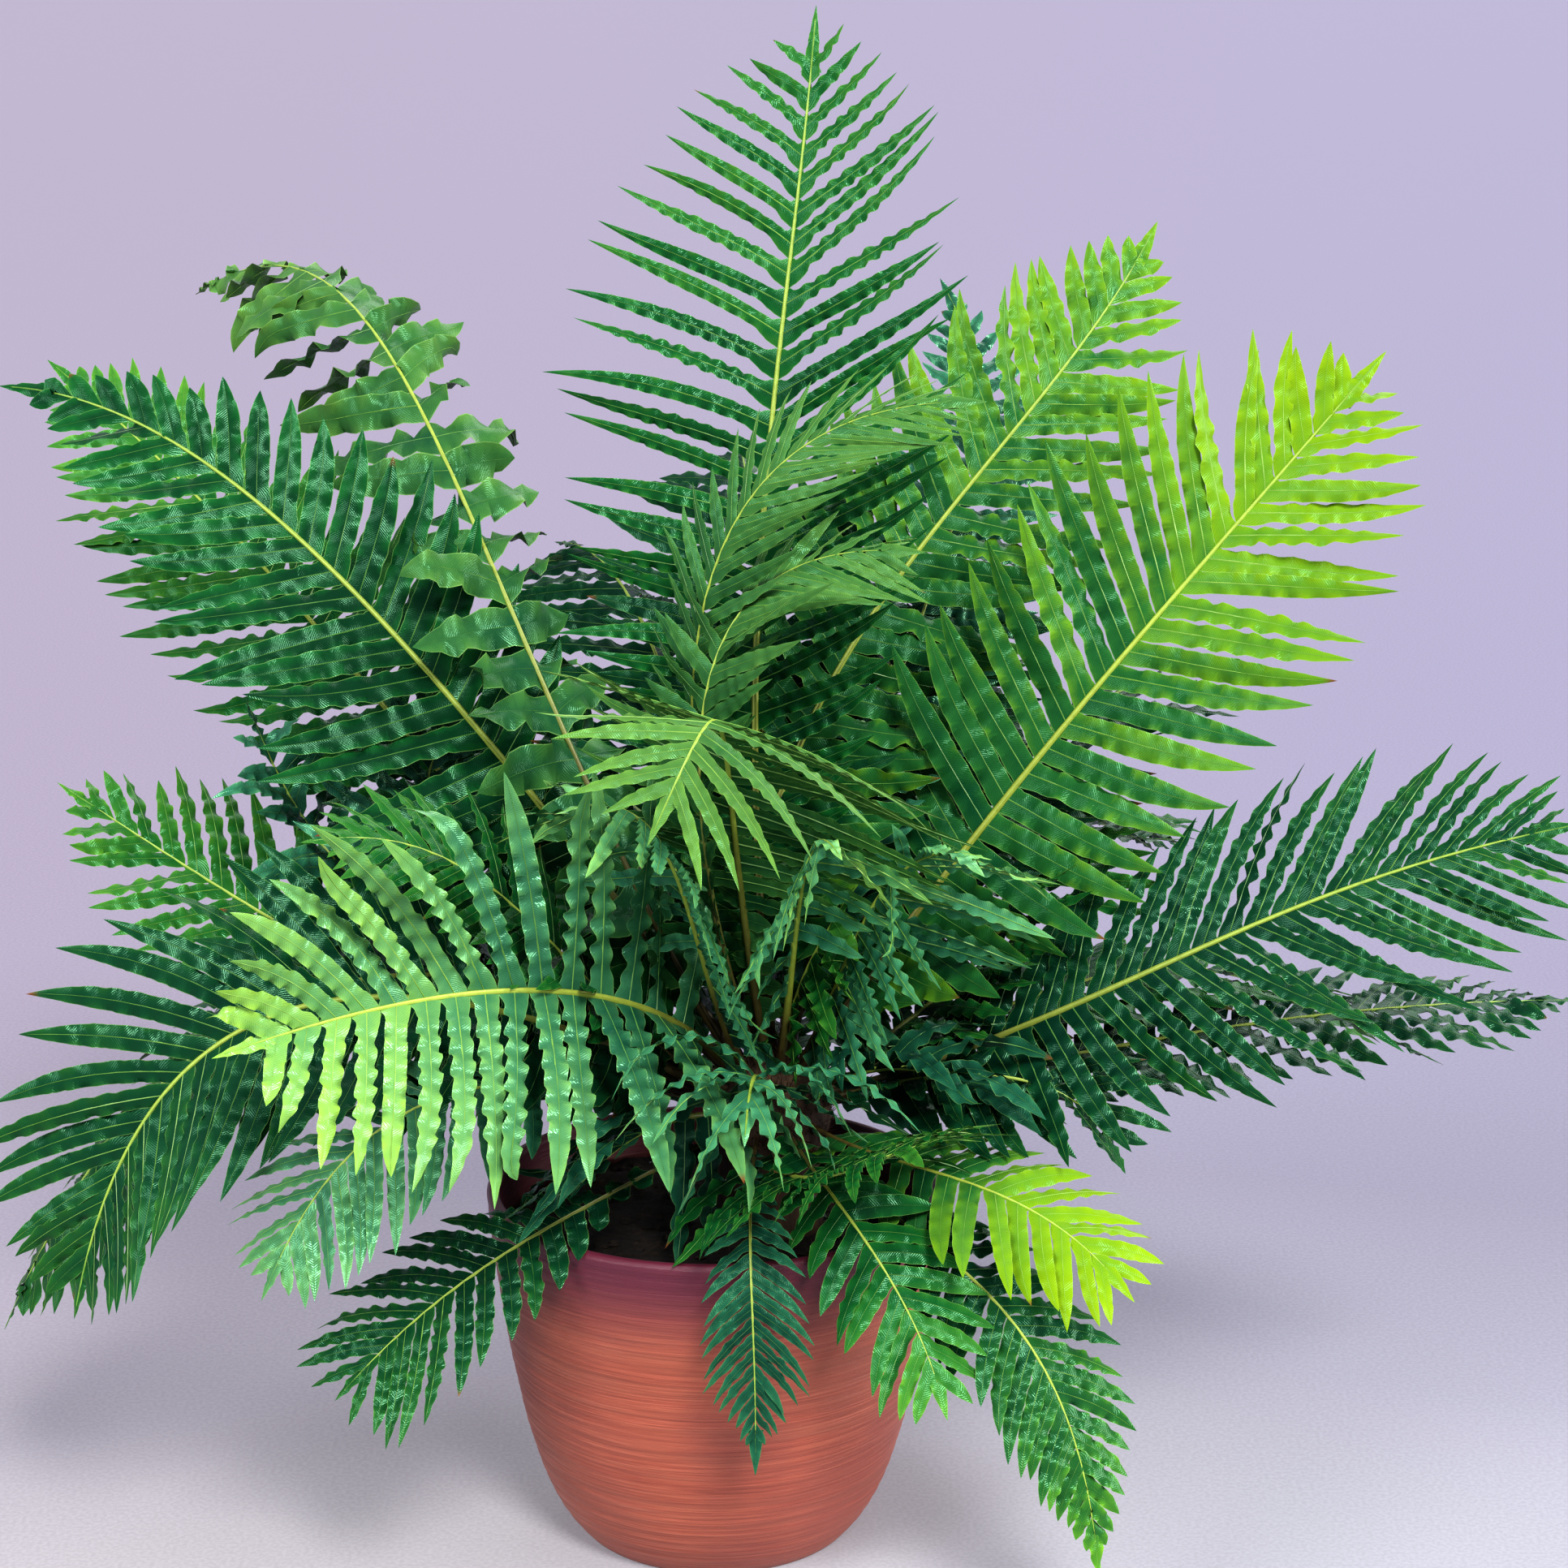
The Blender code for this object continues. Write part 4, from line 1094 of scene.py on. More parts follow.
def scale_the_stem(rib, gatherer, material, rng):
    """Scales on the lowest part of the stem, thick at the crown and sparse further up."""
    for _ in range(STEM_SCALES):
        place = rng.exponential(SCALE_REACH)
        if place > SCALE_HIGHEST:
            continue
        centre, along, side, up = rib.at(place)
        angle = rng.uniform(0, 2 * math.pi)
        outward = side * math.cos(angle) + up * math.sin(angle)
        root = centre + outward * rib_width(place) * stoutness(rib.frond) * SCALE_ROOT
        heading = unit(along + outward * rng.uniform(0.15, 0.6) + side * rng.normal(0, 0.2))
        look = (rng.uniform(), 0, 0, 0, 0, 0)
        sliver(gatherer, root, heading, outward, rng.uniform(*STEM_SCALE_LENGTHS),
               rng.uniform(*STEM_SCALE_WIDTHS), material, look)


print(STEM_SCALES, "scales tried on each stem")

# %% [markdown]
# ## Leaf colour
# The green isn't one green. A frond is darkest and bluest near the crown and lighter at its
# tip, and each leaflet brightens toward its own tip, most of all on young fronds. These
# slow changes are worked out for each point of the mesh and reach the shader as an
# attribute. The fine things are texture: slanting side veins, mottling, a pale thin margin
# and a few browned tips. Fronds differ too, so there are seven greens, two of them for the
# crowded heart of the plant. The lighter, bluer of these two holds painted sky sheen and
# painted light, which the heart doesn't get, and the green of the pale fronds at the front
# has a painted bluish sheen mixed in. The surface is waxy: its highlights are tinted green,
# broken up by a fine grain, and fade where the leaf is seen edge-on.

# %% Seven greens
# For each tone: slot, shine, youth at which the second colour stands, and five colours from
# the oldest to the youngest.
LEAF_TONES = {
    "deep": ("deep_green_leaf", 0.28, 0.22,
             ((0.002, 0.023, 0.012), (0.004, 0.044, 0.015), (0.016, 0.092, 0.016),
              (0.065, 0.210, 0.016), (0.200, 0.420, 0.016))),
    "mid": ("green_leaf", 0.25, 0.22,
            ((0.002, 0.027, 0.009), (0.006, 0.078, 0.015), (0.036, 0.155, 0.020),
             (0.100, 0.270, 0.018), (0.220, 0.430, 0.016))),
    "lime": ("lime_green_leaf", 0.16, 0.25,
             ((0.004, 0.046, 0.015), (0.016, 0.098, 0.020), (0.092, 0.225, 0.014),
              (0.150, 0.285, 0.006), (0.200, 0.340, 0.004))),
    # The pale green of young fronds, with a painted bluish sheen mixed in.
    "fresh_and_painted_sheen": ("lime_green_leaf", 0.60, 0.25,
              ((0.008, 0.060, 0.034), (0.036, 0.145, 0.062), (0.100, 0.260, 0.078),
               (0.170, 0.355, 0.070), (0.230, 0.430, 0.050))),
    # Lighter and bluer than the deep tone: painted sky sheen and light for the crowded heart.
    "heart_painted_sheen": ("deep_green_leaf", 0.70, 0.22,
               ((0.007, 0.048, 0.029), (0.026, 0.140, 0.074), (0.068, 0.265, 0.120),
                (0.145, 0.380, 0.125), (0.260, 0.510, 0.105))),
    "dim": ("deep_green_leaf", 0.12, 0.22,
            ((0.005, 0.036, 0.022), (0.012, 0.080, 0.042), (0.030, 0.140, 0.060),
             (0.080, 0.240, 0.060), (0.180, 0.400, 0.060))),
    "soft": ("green_leaf", 0.24, 0.25,
             ((0.010, 0.060, 0.022), (0.034, 0.120, 0.028), (0.072, 0.180, 0.036),
              (0.120, 0.270, 0.040), (0.190, 0.390, 0.040))),
}
print(len(LEAF_TONES), "tones of leaf")

# %% Leaf finishes
SIDE_VEIN_GAP = 0.00125
VEIN_SLANT = 0.75
VEIN_SHOW = 0.45
EDGE_ON = (0.45, 0.85)
GRAZING_SHINE = 0.15
GREEN_GLOSS = (0.42, 1.0, 0.60, 1.0)
LIGHTER_GREEN = (1.5, 1.32, 1.3)
MARGIN_GREEN = (0.30, 0.52, 0.14)
MARGIN_SHOW = 0.6
WORN_BROWN = (0.16, 0.045, 0.016)
MOTTLE = (55.0, 4.0, 0.6)
MOTTLE_SHADE = 0.07
GRAIN = (900.0, 2.0, 0.6)
LEAF_GLOSS = (0.17, 0.28)
LEAF_RELIEF = (0.00009, 0.7)


def attribute(material, label):
    vector = add_node(material, "ShaderNodeAttribute", attribute_name=label).outputs["Vector"]
    return add_node(material, "ShaderNodeSeparateXYZ", {"Vector": vector}).outputs


def leaf_material(name, shine, second, colours):
    material, shader = new_material(name, Metallic=0.0)
    facing = add_node(material, "ShaderNodeLayerWeight").outputs["Facing"]
    sheen = map_range(material, facing, *EDGE_ON, shine, shine * GRAZING_SHINE)
    join(material, sheen, shader.inputs["Specular IOR Level"])
    shader.inputs["Specular Tint"].default_value = GREEN_GLOSS
    youth, vein_along, vein_across = attribute(material, "look")
    edge, worn, _ = attribute(material, "wear")
    mottle = object_noise(material, *MOTTLE)
    uneven = map_range(material, mottle, 0.25, 0.75, -MOTTLE_SHADE, MOTTLE_SHADE)
    stops = list(zip((0.0, second, 0.5, 0.75, 1.0), colours))
    green = colour_ramp(material, math_node(material, "ADD", youth, uneven), stops)
    slanted = math_node(material, "MULTIPLY_ADD", vein_across, VEIN_SLANT, vein_along)
    phase = math_node(material, "MULTIPLY", slanted, 2 * math.pi / SIDE_VEIN_GAP)
    wave = math_node(material, "SINE", phase)
    vein = math_node(material, "MULTIPLY", map_range(material, wave, 0.2, 1.0), VEIN_SHOW)
    lighter = multiply(material, green, LIGHTER_GREEN)
    veined = mix_colours(material, vein, green, lighter)
    margin = map_range(material, edge, 0.93, 0.99, 0.0, MARGIN_SHOW)
    pale = mix_colours(material, 0.5, lighter, MARGIN_GREEN)
    trimmed = mix_colours(material, margin, veined, pale)
    browned = mix_colours(material, worn, trimmed, WORN_BROWN)
    join(material, browned, shader.inputs["Base Color"])
    gloss = map_range(material, mottle, 0.3, 0.7, *LEAF_GLOSS)
    join(material, gloss, shader.inputs["Roughness"])
    grain = object_noise(material, *GRAIN)
    relief = math_node(material, "MULTIPLY_ADD", wave, 0.5, grain)
    join(material, bump(material, relief, *LEAF_RELIEF), shader.inputs["Normal"])
    return material


leaf_materials = {tone: leaf_material("leaf_" + tone, *looks)
                  for tone, (_, *looks) in LEAF_TONES.items()}
print("leaf finishes:", sorted(leaf_materials))

# %% [markdown]
# ## Rib and scale colour
# Ribs are yellow-green and fade to brownish green at the foot, where the stem ages. Fine
# streaks run along them. The midribs of the leaflets share the finish: they are the light
# lines that draw each leaflet. The scales are dry and matte, in several browns.

# %% Rib and scale finishes
STEM_STOPS = [(0.0, (0.050, 0.032, 0.012)), (0.10, (0.085, 0.085, 0.020)),
              (0.28, (0.190, 0.240, 0.035)), (0.6, (0.310, 0.415, 0.070)),
              (0.9, (0.280, 0.420, 0.070)), (1.0, (0.140, 0.320, 0.050))]
MIDRIB_STOPS = [(0.0, (0.080, 0.210, 0.040)), (0.25, (0.200, 0.380, 0.060)),
                (0.6, (0.300, 0.480, 0.090)), (1.0, (0.480, 0.620, 0.140))]
SCALE_STOPS = [(0.0, (0.016, 0.008, 0.004)), (0.5, (0.050, 0.024, 0.010)),
               (1.0, (0.120, 0.062, 0.026))]
YOUNG_STEM = (1.35, 1.25, 1.0)
STREAKS = (260.0, 3.0, 0.6)
STREAK_SHADE = (0.72, 0.74, 0.66)
RIB_RELIEF = (0.0002, 0.6)


def rib_material():
    material, shader = new_material("frond_rib", Roughness=0.42)
    youth, _, _ = attribute(material, "look")
    _, leaflet_rib, place = attribute(material, "wear")
    ripe = colour_ramp(material, place, STEM_STOPS)
    stem = mix_colours(material, youth, ripe, multiply(material, ripe, YOUNG_STEM))
    thread = colour_ramp(material, youth, MIDRIB_STOPS)
    colour = mix_colours(material, leaflet_rib, stem, thread)
    streak = object_noise(material, *STREAKS)
    shown = map_range(material, streak, 0.35, 0.7, 0.0, 0.6)
    streaked = mix_colours(material, shown, colour, multiply(material, colour, STREAK_SHADE))
    join(material, streaked, shader.inputs["Base Color"])
    join(material, bump(material, streak, *RIB_RELIEF), shader.inputs["Normal"])
    return material


def scale_material():
    material, shader = new_material("brown_scales", Roughness=0.78)
    shade, _, _ = attribute(material, "look")
    join(material, colour_ramp(material, shade, SCALE_STOPS), shader.inputs["Base Color"])
    return material


frond_rib = rib_material()
brown_scales = scale_material()
print("rib and scale finishes ready")

# %% [markdown]
# ## Growing a frond
# Each frond is grown from its foot to its tip: the rib, a pair of leaflets at each place, a
# long last lobe that follows the rib, and the scales. Six values are written at each point
# for its colour. The first is youth, which rises along the frond and along each leaflet. It
# is also raised on the crests of the frill and along the edges, and lowered in the hollows
# and near the midrib: painted light and shade of the frill. Another is worn, which is above
# zero only on a few tips.

# %% Colour values of a leaflet
# Painted light and shade of the frill: crests and edges lighter, hollows and the middle darker.
CREST_PAINTED_LIGHT = 0.34
EDGE_PAINTED_LIGHT = 0.12
EDGE_PAINTED_LIGHT_MEAN = 0.4
MIDRIB_SHADE = 0.03
RIPENS = (0.1, 0.95)
RIPEN_POWER = 1.9
FOOT_YOUTH = 0.2
TIP_POWER = 1.4
TINT_LEAST = 0.4
WORN_END = (0.93, 0.99)
TINY_STEP = 1e-9


def leaflet_looks(leaflet, vein, u):
    """Six colour values for each point of a leaflet's rows."""
    f = leaflet.rib.frond
    rise = FOOT_YOUTH + (1 - FOOT_YOUTH) * smooth_step(*RIPENS, leaflet.place) ** RIPEN_POWER
    youth = f.youth * rise + f.tips * u ** TIP_POWER + leaflet.tint * (TINT_LEAST + f.youth)
    # Painted light and shade: lighter on crests and edges, darker in hollows and along the
    # middle.
    painted_light_and_shade = CREST_PAINTED_LIGHT * vein[..., 3] + EDGE_PAINTED_LIGHT * (vein[..., 2] ** 2 - EDGE_PAINTED_LIGHT_MEAN)
    looks = np.zeros((*vein.shape[:2], 6))
    looks[..., 0] = youth[:, None] - MIDRIB_SHADE * (SECTION_ACROSS == 0) + painted_light_and_shade
    looks[..., 1:4] = vein[..., :3]
    looks[..., 4] = (smooth_step(*WORN_END, u) * leaflet.worn)[:, None]
    return looks


def mesh_leaflet(leaflet, bend, share, gatherer):
    """Adds the blade and the midrib. The last row of points is a single tip."""
    points, vein, u, rows = leaflet_points(leaflet, bend, share)
    looks = leaflet_looks(leaflet, vein, u)
    flat, flat_looks = (np.vstack((values[:-1].reshape(-1, values.shape[2]), values[-1, 2:3]))
                        for values in (points, looks))
    flip = leaflet.sign < 0
    gatherer.add(flat, *blade_faces(rows), 0, flat_looks, flip)
    centre = (points[:, 2] + points[:, 5]) / 2
    ahead = unit(points[:, 4] - points[:, 0] + TINY_STEP)
    ahead[-1] = ahead[-2]
    face = unit(np.cross(ahead, np.gradient(centre, axis=0))) * leaflet.sign
    stout = min(1.0, leaflet.full * share / USUAL_WIDTH)
    rod_looks = (looks[0, 2, 0], 0, 0, 0, 1, 0)
    gatherer.add(*midrib_mesh(centre, ahead, face, stout), 1, rod_looks, flip)


print("youth rises by", CREST_PAINTED_LIGHT, "times the crest, and by", EDGE_PAINTED_LIGHT, "at the edge")

# %% Grow one frond
LAST_LOBE_PLACES = (0.955, 0.985)
LAST_LOBE_WIDTH = 0.0075
LAST_LOBE_WIDER = 0.035
LAST_LOBE_PAST = 0.006
LAST_LOBE_POINT = 0.92
FIRST_SEED = 1000


class LastLobe(Leaflet):
    """The pointed lobe that a frond ends in. It follows the rib and runs on past its end."""

    def __init__(self, rib, rng):
        super().__init__(rib, *LAST_LOBE_PLACES, -1, rng)
        self.full = lobe_length(rib.frond)
        self.chord = LAST_LOBE_WIDTH + LAST_LOBE_WIDER * rib.frond.width
        self.sweep = 0.0
        self.point = LAST_LOBE_POINT

    def middle_line(self, bend, length, rows):
        u = np.linspace(0, 1, rows + 1)
        places = 1 + (LAST_LOBE_PAST - length * (1 - u)) / self.rib.length
        centre, along, side, up = self.rib.at(np.minimum(places, 1.0))
        past = np.maximum(places - 1, 0.0)[:, None] * self.rib.length
        return u, centre + along * past, side, up


def grow_frond(number, rib, blockers):
    """The frond's mesh, with the plates of the leaflets that found room."""
    rng = np.random.default_rng(FIRST_SEED + number)
    gatherer = Gatherer()
    sweep_rib(rib, gatherer, 1)
    places = leaflet_places(rib)
    plates, last_bend = [], {1: 0, -1: 0}
    for low, high in zip(places, places[1:]):
        for sign in (1, -1):
            leaflet = Leaflet(rib, low, high, sign, rng)
            fitted = fit_leaflet(leaflet, blockers, last_bend[sign])
            if fitted is None:
                continue
            bend, share, plate = fitted
            last_bend[sign] = bend
            plates.append((plate, PLATE_FACES))
            mesh_leaflet(leaflet, bend, share, gatherer)
    mesh_leaflet(LastLobe(rib, rng), 0.0, 1.0, gatherer)
    scale_the_stem(rib, gatherer, 2, rng)
    return gatherer, plates


print("the last lobe runs", LAST_LOBE_PAST * 1000, "mm past the rib")

# %% [markdown]
# ## One frond after the other
# The fronds that matter most in the picture come first in the table. They are grown first,
# so they keep their neat shape, and later ones bend around them. A frond's search tree
# holds the leaflets that are placed already and every rib but its own. All could be grown
# at once and pulled apart afterwards, but then the neat ones would be bent as well.

# %% Grow all the fronds
placed = []
frond_pieces = []
for number, rib in enumerate(ribs):
    others = rib_shapes[:number] + rib_shapes[number + 1:]
    gatherer, plates = grow_frond(number, rib, standing + [search_tree(placed + others)])
    placed += plates
    finishes = [leaf_materials[rib.frond.tone], frond_rib, brown_scales]
    mesh = gatherer.mesh("fine_frond_" + rib.frond.name, finishes)
    slot = LEAF_TONES[rib.frond.tone][0]
    frond_pieces.append(place_piece(mesh, slot, "frond_" + rib.frond.name))
print(len(placed), "leaflets on", len(frond_pieces), "fronds")

# %% [markdown]
# ## Crown
# The crown is the short upright rootstock that all stems grow from. It is a knob of old leaf
# bases under a shaggy coat of brown scales, with stubs where older fronds have been cut off.
# A turned profile, roughened with noise, carries the coat. The scales point up and outward,
# as they do on a living crown.

# %% Turn a profile
def turned_rows(profile, steps, centre, bumps=0.0, pitch=1.0):
    """Rings of points turned about a vertical axis, with a pole at each end and both kinds
    of face. Noise at this pitch can push the points outward and inward."""
    angle = np.linspace(0, 2 * math.pi, steps, endpoint=False)
    circle = np.stack((np.cos(angle), np.sin(angle), np.zeros(steps)), axis=1)
    rows = np.array([circle * radius + (0, 0, height) for radius, height in profile[1:-1]])
    points = np.vstack((rows.reshape(-1, 3), (0, 0, profile[0][1]), (0, 0, profile[-1][1])))
    if bumps:
        swell = np.array([noise.noise(Vector(p * pitch)) for p in points])
        outward = points * (1, 1, 0)
        outward /= np.maximum(np.linalg.norm(outward, axis=1), TINY)[:, None]
        points = points + outward * (swell * bumps)[:, None]
    poles = len(rows) * steps
    return points + centre, *tube_faces(len(rows), steps, poles, poles + 1)


print("a profile of 2 rings turned in 4 steps has",
      len(turned_rows([(0, 0), (1, 0), (1, 1), (0, 1)], 4, np.zeros(3))[0]), "points")

# %% Shape the crown
CROWN_STEPS = 48
CROWN_ARC = range(84, -30, -6)
CROWN_WAIST = 0.028
CROWN_FOOT = 0.126
WAIST_HEIGHTS = (0.205, 0.17, CROWN_FOOT)
CROWN_BUMPS = 0.0022
CROWN_BUMP_PITCH = 120.0
CROWN_STUBS = 16
STUB_SIDES = 6
STUB_TAPER = 0.7
STUB_FLATNESS = 0.7
STUB_HOLLOW = 0.93
STUB_LENGTHS = (0.007, 0.014)
STUB_WIDTHS = (0.0018, 0.0028)
STUB_DEPTH = 0.86
CROWN_SCALES = 1500
CROWN_SCALE_LENGTHS = (0.005, 0.011)
CROWN_SCALE_WIDTHS = (0.0008, 0.0014)
CROWN_SCALE_DEPTH = 0.97
NOT_ALONG = (0.3, 0.2, 1.0)
CROWN_SEED = 7


def crown_profile():
    """Points from the top of the dome down to its waist and to the crown's foot."""
    dome = [(CROWN_RADIUS * math.cos(a), CROWN[2] + CROWN_RADIUS * math.sin(a))
            for a in np.radians(CROWN_ARC)]
    column = [(CROWN_WAIST, height) for height in WAIST_HEIGHTS]
    return [(0.0, CROWN[2] + CROWN_RADIUS)] + dome + column + [(0.0, CROWN_FOOT)]


def stub(gatherer, root, heading, length, width, look):
    """A cut old leaf base: a six-sided peg that narrows a little, hollow at its end."""
    side = unit(np.cross(heading, NOT_ALONG))
    up = np.cross(side, heading)
    angle = np.linspace(0, 2 * math.pi, STUB_SIDES, endpoint=False)[:, None]
    ring = (side * np.cos(angle) + up * np.sin(angle) * STUB_FLATNESS) * width
    points = np.vstack((root + ring, root + heading * length + ring * STUB_TAPER,
                        root[None], root[None] + heading * length * STUB_HOLLOW))
    faces = tube_faces(2, STUB_SIDES, 2 * STUB_SIDES, 2 * STUB_SIDES + 1)
    gatherer.add(points, *faces, 0, look, flip=True)


def build_crown():
    rng = np.random.default_rng(CROWN_SEED)
    gatherer = Gatherer()
    axis = np.array((CROWN[0], CROWN[1], 0.0))
    knob = turned_rows(crown_profile(), CROWN_STEPS, axis, CROWN_BUMPS, CROWN_BUMP_PITCH)
    gatherer.add(*knob, 0, flip=True)
    for _ in range(CROWN_STUBS):
        outward = direction(rng.uniform(0, 360), rng.uniform(-15, 40))
        root = CROWN + outward * CROWN_RADIUS * STUB_DEPTH
        heading = unit(outward + (0, 0, 0.9))
        look = (rng.uniform(), 0, 0, 0, 0, 0)
        stub(gatherer, root, heading, rng.uniform(*STUB_LENGTHS), rng.uniform(*STUB_WIDTHS),
             look)
    for _ in range(CROWN_SCALES):
        outward = direction(rng.uniform(0, 360), rng.uniform(-30, 85))
        root = CROWN + outward * CROWN_RADIUS * CROWN_SCALE_DEPTH
        heading = unit(outward * 0.7 + (0, 0, 0.8) + rng.normal(0, 0.28, 3))
        look = (rng.uniform(), 0, 0, 0, 0, 0)
        sliver(gatherer, root, heading, outward, rng.uniform(*CROWN_SCALE_LENGTHS),
               rng.uniform(*CROWN_SCALE_WIDTHS), 1, look)
    return gatherer


crown_gatherer = build_crown()
print("crown with", CROWN_SCALES, "scales and", CROWN_STUBS, "stubs")

# %% Crown finish
FIBRE_STOPS = [(0.3, (0.012, 0.006, 0.003)), (0.55, (0.045, 0.024, 0.011)),
               (0.8, (0.110, 0.062, 0.028))]
STRANDS = (90.0, 5.0, 0.65, (1.0, 1.0, 0.25))
CROWN_RELIEF = (0.002, 0.9)


def fibre_material():
    material, shader = new_material("crown_fibre", Roughness=0.9)
    strands = object_noise(material, *STRANDS)
    join(material, colour_ramp(material, strands, FIBRE_STOPS), shader.inputs["Base Color"])
    join(material, bump(material, strands, *CROWN_RELIEF), shader.inputs["Normal"])
    return material


crown_mesh = crown_gatherer.mesh("scaly_crown", [fibre_material(), brown_scales])
crown_piece = place_piece(crown_mesh, "crown_fibre", "crown")
print("crown of", len(crown_mesh.vertices), "points")

# %% [markdown]
# ## Soil
# Potting soil is dark, crumbly and never flat. A polar grid of points, lifted by two sizes of
# noise, gives the low mound. A few hundred loose crumbs lie on it, some of them as flat as
# chips of bark. It keeps the CAD soil's outline, so it fills the pot to the same line.

# %% Height of the soil and loose crumbs
SOIL_TOP = 0.172
SOIL_RADIUS = 0.1125
SOIL_MOUND = 0.004
SOIL_DROP = 0.006
SOIL_BEVEL = 0.012
LUMP_HEIGHT = 0.0022
LUMP_PITCH = 70
GRIT_HEIGHT = 0.0012
GRIT_PITCH = 260
CRUMB_SIZES = (0.0010, 0.0032)
CRUMB_REACH = 0.97
CRUMB_FLATTEST = (0.8, 0.8, 0.4)
CRUMB_LARGEST = (1.5, 1.5, 0.9)
CRUMB_CORNERS = np.array(((1, 0, 0), (0, 1, 0), (-1, 0, 0), (0, -1, 0), (0, 0, 1), (0, 0, -1.0)))
CRUMB_FACES = [(a, b, 4) for a, b in round_strips(4)] + [(b, a, 5) for a, b in round_strips(4)]


def soil_height(x, y):
    radius = math.hypot(x, y)
    mound = SOIL_MOUND * (1 - (radius / SOIL_RADIUS) ** 2)
    edge = SOIL_DROP * max(0.0, (radius - SOIL_RADIUS + SOIL_BEVEL) / SOIL_BEVEL) ** 2
    lumps = LUMP_HEIGHT * noise.noise(Vector((x * LUMP_PITCH, y * LUMP_PITCH, 0.0)))
    grit = GRIT_HEIGHT * noise.noise(Vector((x * GRIT_PITCH, y * GRIT_PITCH, 3.0)))
    return SOIL_TOP + mound - edge + lumps + grit


def crumb(gatherer, rng):
    """A loose lump: an octahedron with its corners pulled about."""
    radius = SOIL_RADIUS * CRUMB_REACH * math.sqrt(rng.uniform())
    angle = rng.uniform(0, 2 * math.pi)
    x, y = radius * math.cos(angle), radius * math.sin(angle)
    size = rng.uniform(*CRUMB_SIZES)
    spread = rng.uniform(0.6, 1.4, (6, 1)) * size
    points = CRUMB_CORNERS * spread * rng.uniform(CRUMB_FLATTEST, CRUMB_LARGEST)
    points = points + (x, y, soil_height(x, y) + size * 0.2)
    gatherer.add(points, [], CRUMB_FACES, 0, (rng.uniform(), 0, 0, 0, 0, 0))


print("soil lies", round(1000 * soil_height(0, 0)), "mm high in the middle")

# %% Heap the soil
SOIL_FLOOR = 0.150
SOIL_UNDERCUT = 0.0035
SOIL_HUB = 0.03
SOIL_RINGS = 34
SOIL_STEPS = 96
SOIL_SEED = 11
CRUMBS = 420


def build_soil():
    """Rings from the hidden underside over the edge to the middle, and loose crumbs."""
    gatherer = Gatherer()
    angles = np.linspace(0, 2 * math.pi, SOIL_STEPS, endpoint=False)
    inner = SOIL_RADIUS - SOIL_UNDERCUT
    rows = [[(inner * math.cos(a), inner * math.sin(a), SOIL_FLOOR) for a in angles]]
    for radius in SOIL_RADIUS * np.linspace(1.0, SOIL_HUB, SOIL_RINGS):
        ring = [(radius * math.cos(a), radius * math.sin(a)) for a in angles]
        rows.append([(x, y, soil_height(x, y)) for x, y in ring])
    poles = ((0, 0, SOIL_FLOOR), (0, 0, soil_height(0, 0)))
    points = np.vstack((np.array(rows).reshape(-1, 3), poles))
    count = len(rows) * SOIL_STEPS
    gatherer.add(points, *tube_faces(len(rows), SOIL_STEPS, count, count + 1), 0)
    rng = np.random.default_rng(SOIL_SEED)
    for _ in range(CRUMBS):
        crumb(gatherer, rng)
    return gatherer


soil_gatherer = build_soil()
print("soil with", CRUMBS, "crumbs")

# %% Soil finish
SOIL_STOPS = [(0.35, (0.010, 0.007, 0.005)), (0.6, (0.034, 0.022, 0.014)),
              (0.85, (0.090, 0.058, 0.034))]
DAMP = (0.5, 0.5, 0.5)
DRY = (1.0, 1.0, 1.0)
FINE_SOIL = (320.0, 5.0, 0.7)
COARSE_SOIL = (45.0, 3.0)
SOIL_RELIEF = (0.0012, 1.0)


def soil_material():
    material, shader = new_material("potting_soil", Roughness=0.95)
    fine = object_noise(material, *FINE_SOIL)
    coarse = object_noise(material, *COARSE_SOIL)
    lift, _, _ = attribute(material, "look")
    mixed = math_node(material, "ADD", fine, math_node(material, "MULTIPLY", lift, 0.25))
    colour = colour_ramp(material, mixed, SOIL_STOPS)
    damp = mix_colours(material, map_range(material, coarse, 0.4, 0.65), DAMP, DRY)
    join(material, multiply(material, colour, damp), shader.inputs["Base Color"])
    join(material, bump(material, fine, *SOIL_RELIEF), shader.inputs["Normal"])
    return material


soil_mesh = soil_gatherer.mesh("crumbly_soil", [soil_material()])
soil_piece = place_piece(soil_mesh, "potting_soil", "soil")
print("soil of", len(soil_mesh.vertices), "points")

# %% [markdown]
# ## Clay pot
# The pot was turned on a wheel. Its wall swells from a narrow foot, and the potter's tool
# left shallow rings round it. The CAD pot has 32 flat sides, too few for a close look, so a
# finer pot stands in for it. Turning a profile about its axis is how the real one was made.
# The broad rings are in the profile itself, and the hair-fine ones are bump. The clay fired
# unevenly: it has darker bands and patches. A deep plum toward the lip is painted shade of
# the fronds above it, laid all round the top of the pot.

# %% Throw the pot
POT_OUTER = [
    (0.0725, 0.000),
    (0.0780, 0.005),
    (0.0870, 0.018),
    (0.0950, 0.036),
    (0.1035, 0.065),
    (0.1115, 0.105),
    (0.1175, 0.145),
    (0.1210, 0.175),
]
POT_HEIGHT = 0.195
RIM_RADIUS = 0.1225
POT_WALL = 0.007
POT_FLOOR = 0.010
POT_ROUNDING = 0.008
ABOVE_RIM = (0.02, 0.0015)
FIRST_RING = 0.0015
LAST_RING = 0.0045
RING_STEP = 0.0021
RING_PITCH = 0.0062
RING_DEPTH = 0.00022
RING_DRIFT = 2.0
DRIFT_PITCH = 90
INSIDE_HEIGHTS = (0.014, 0.03, 0.06, 0.10, 0.14, 0.165, 0.18)
INSIDE_CORNER = 0.004


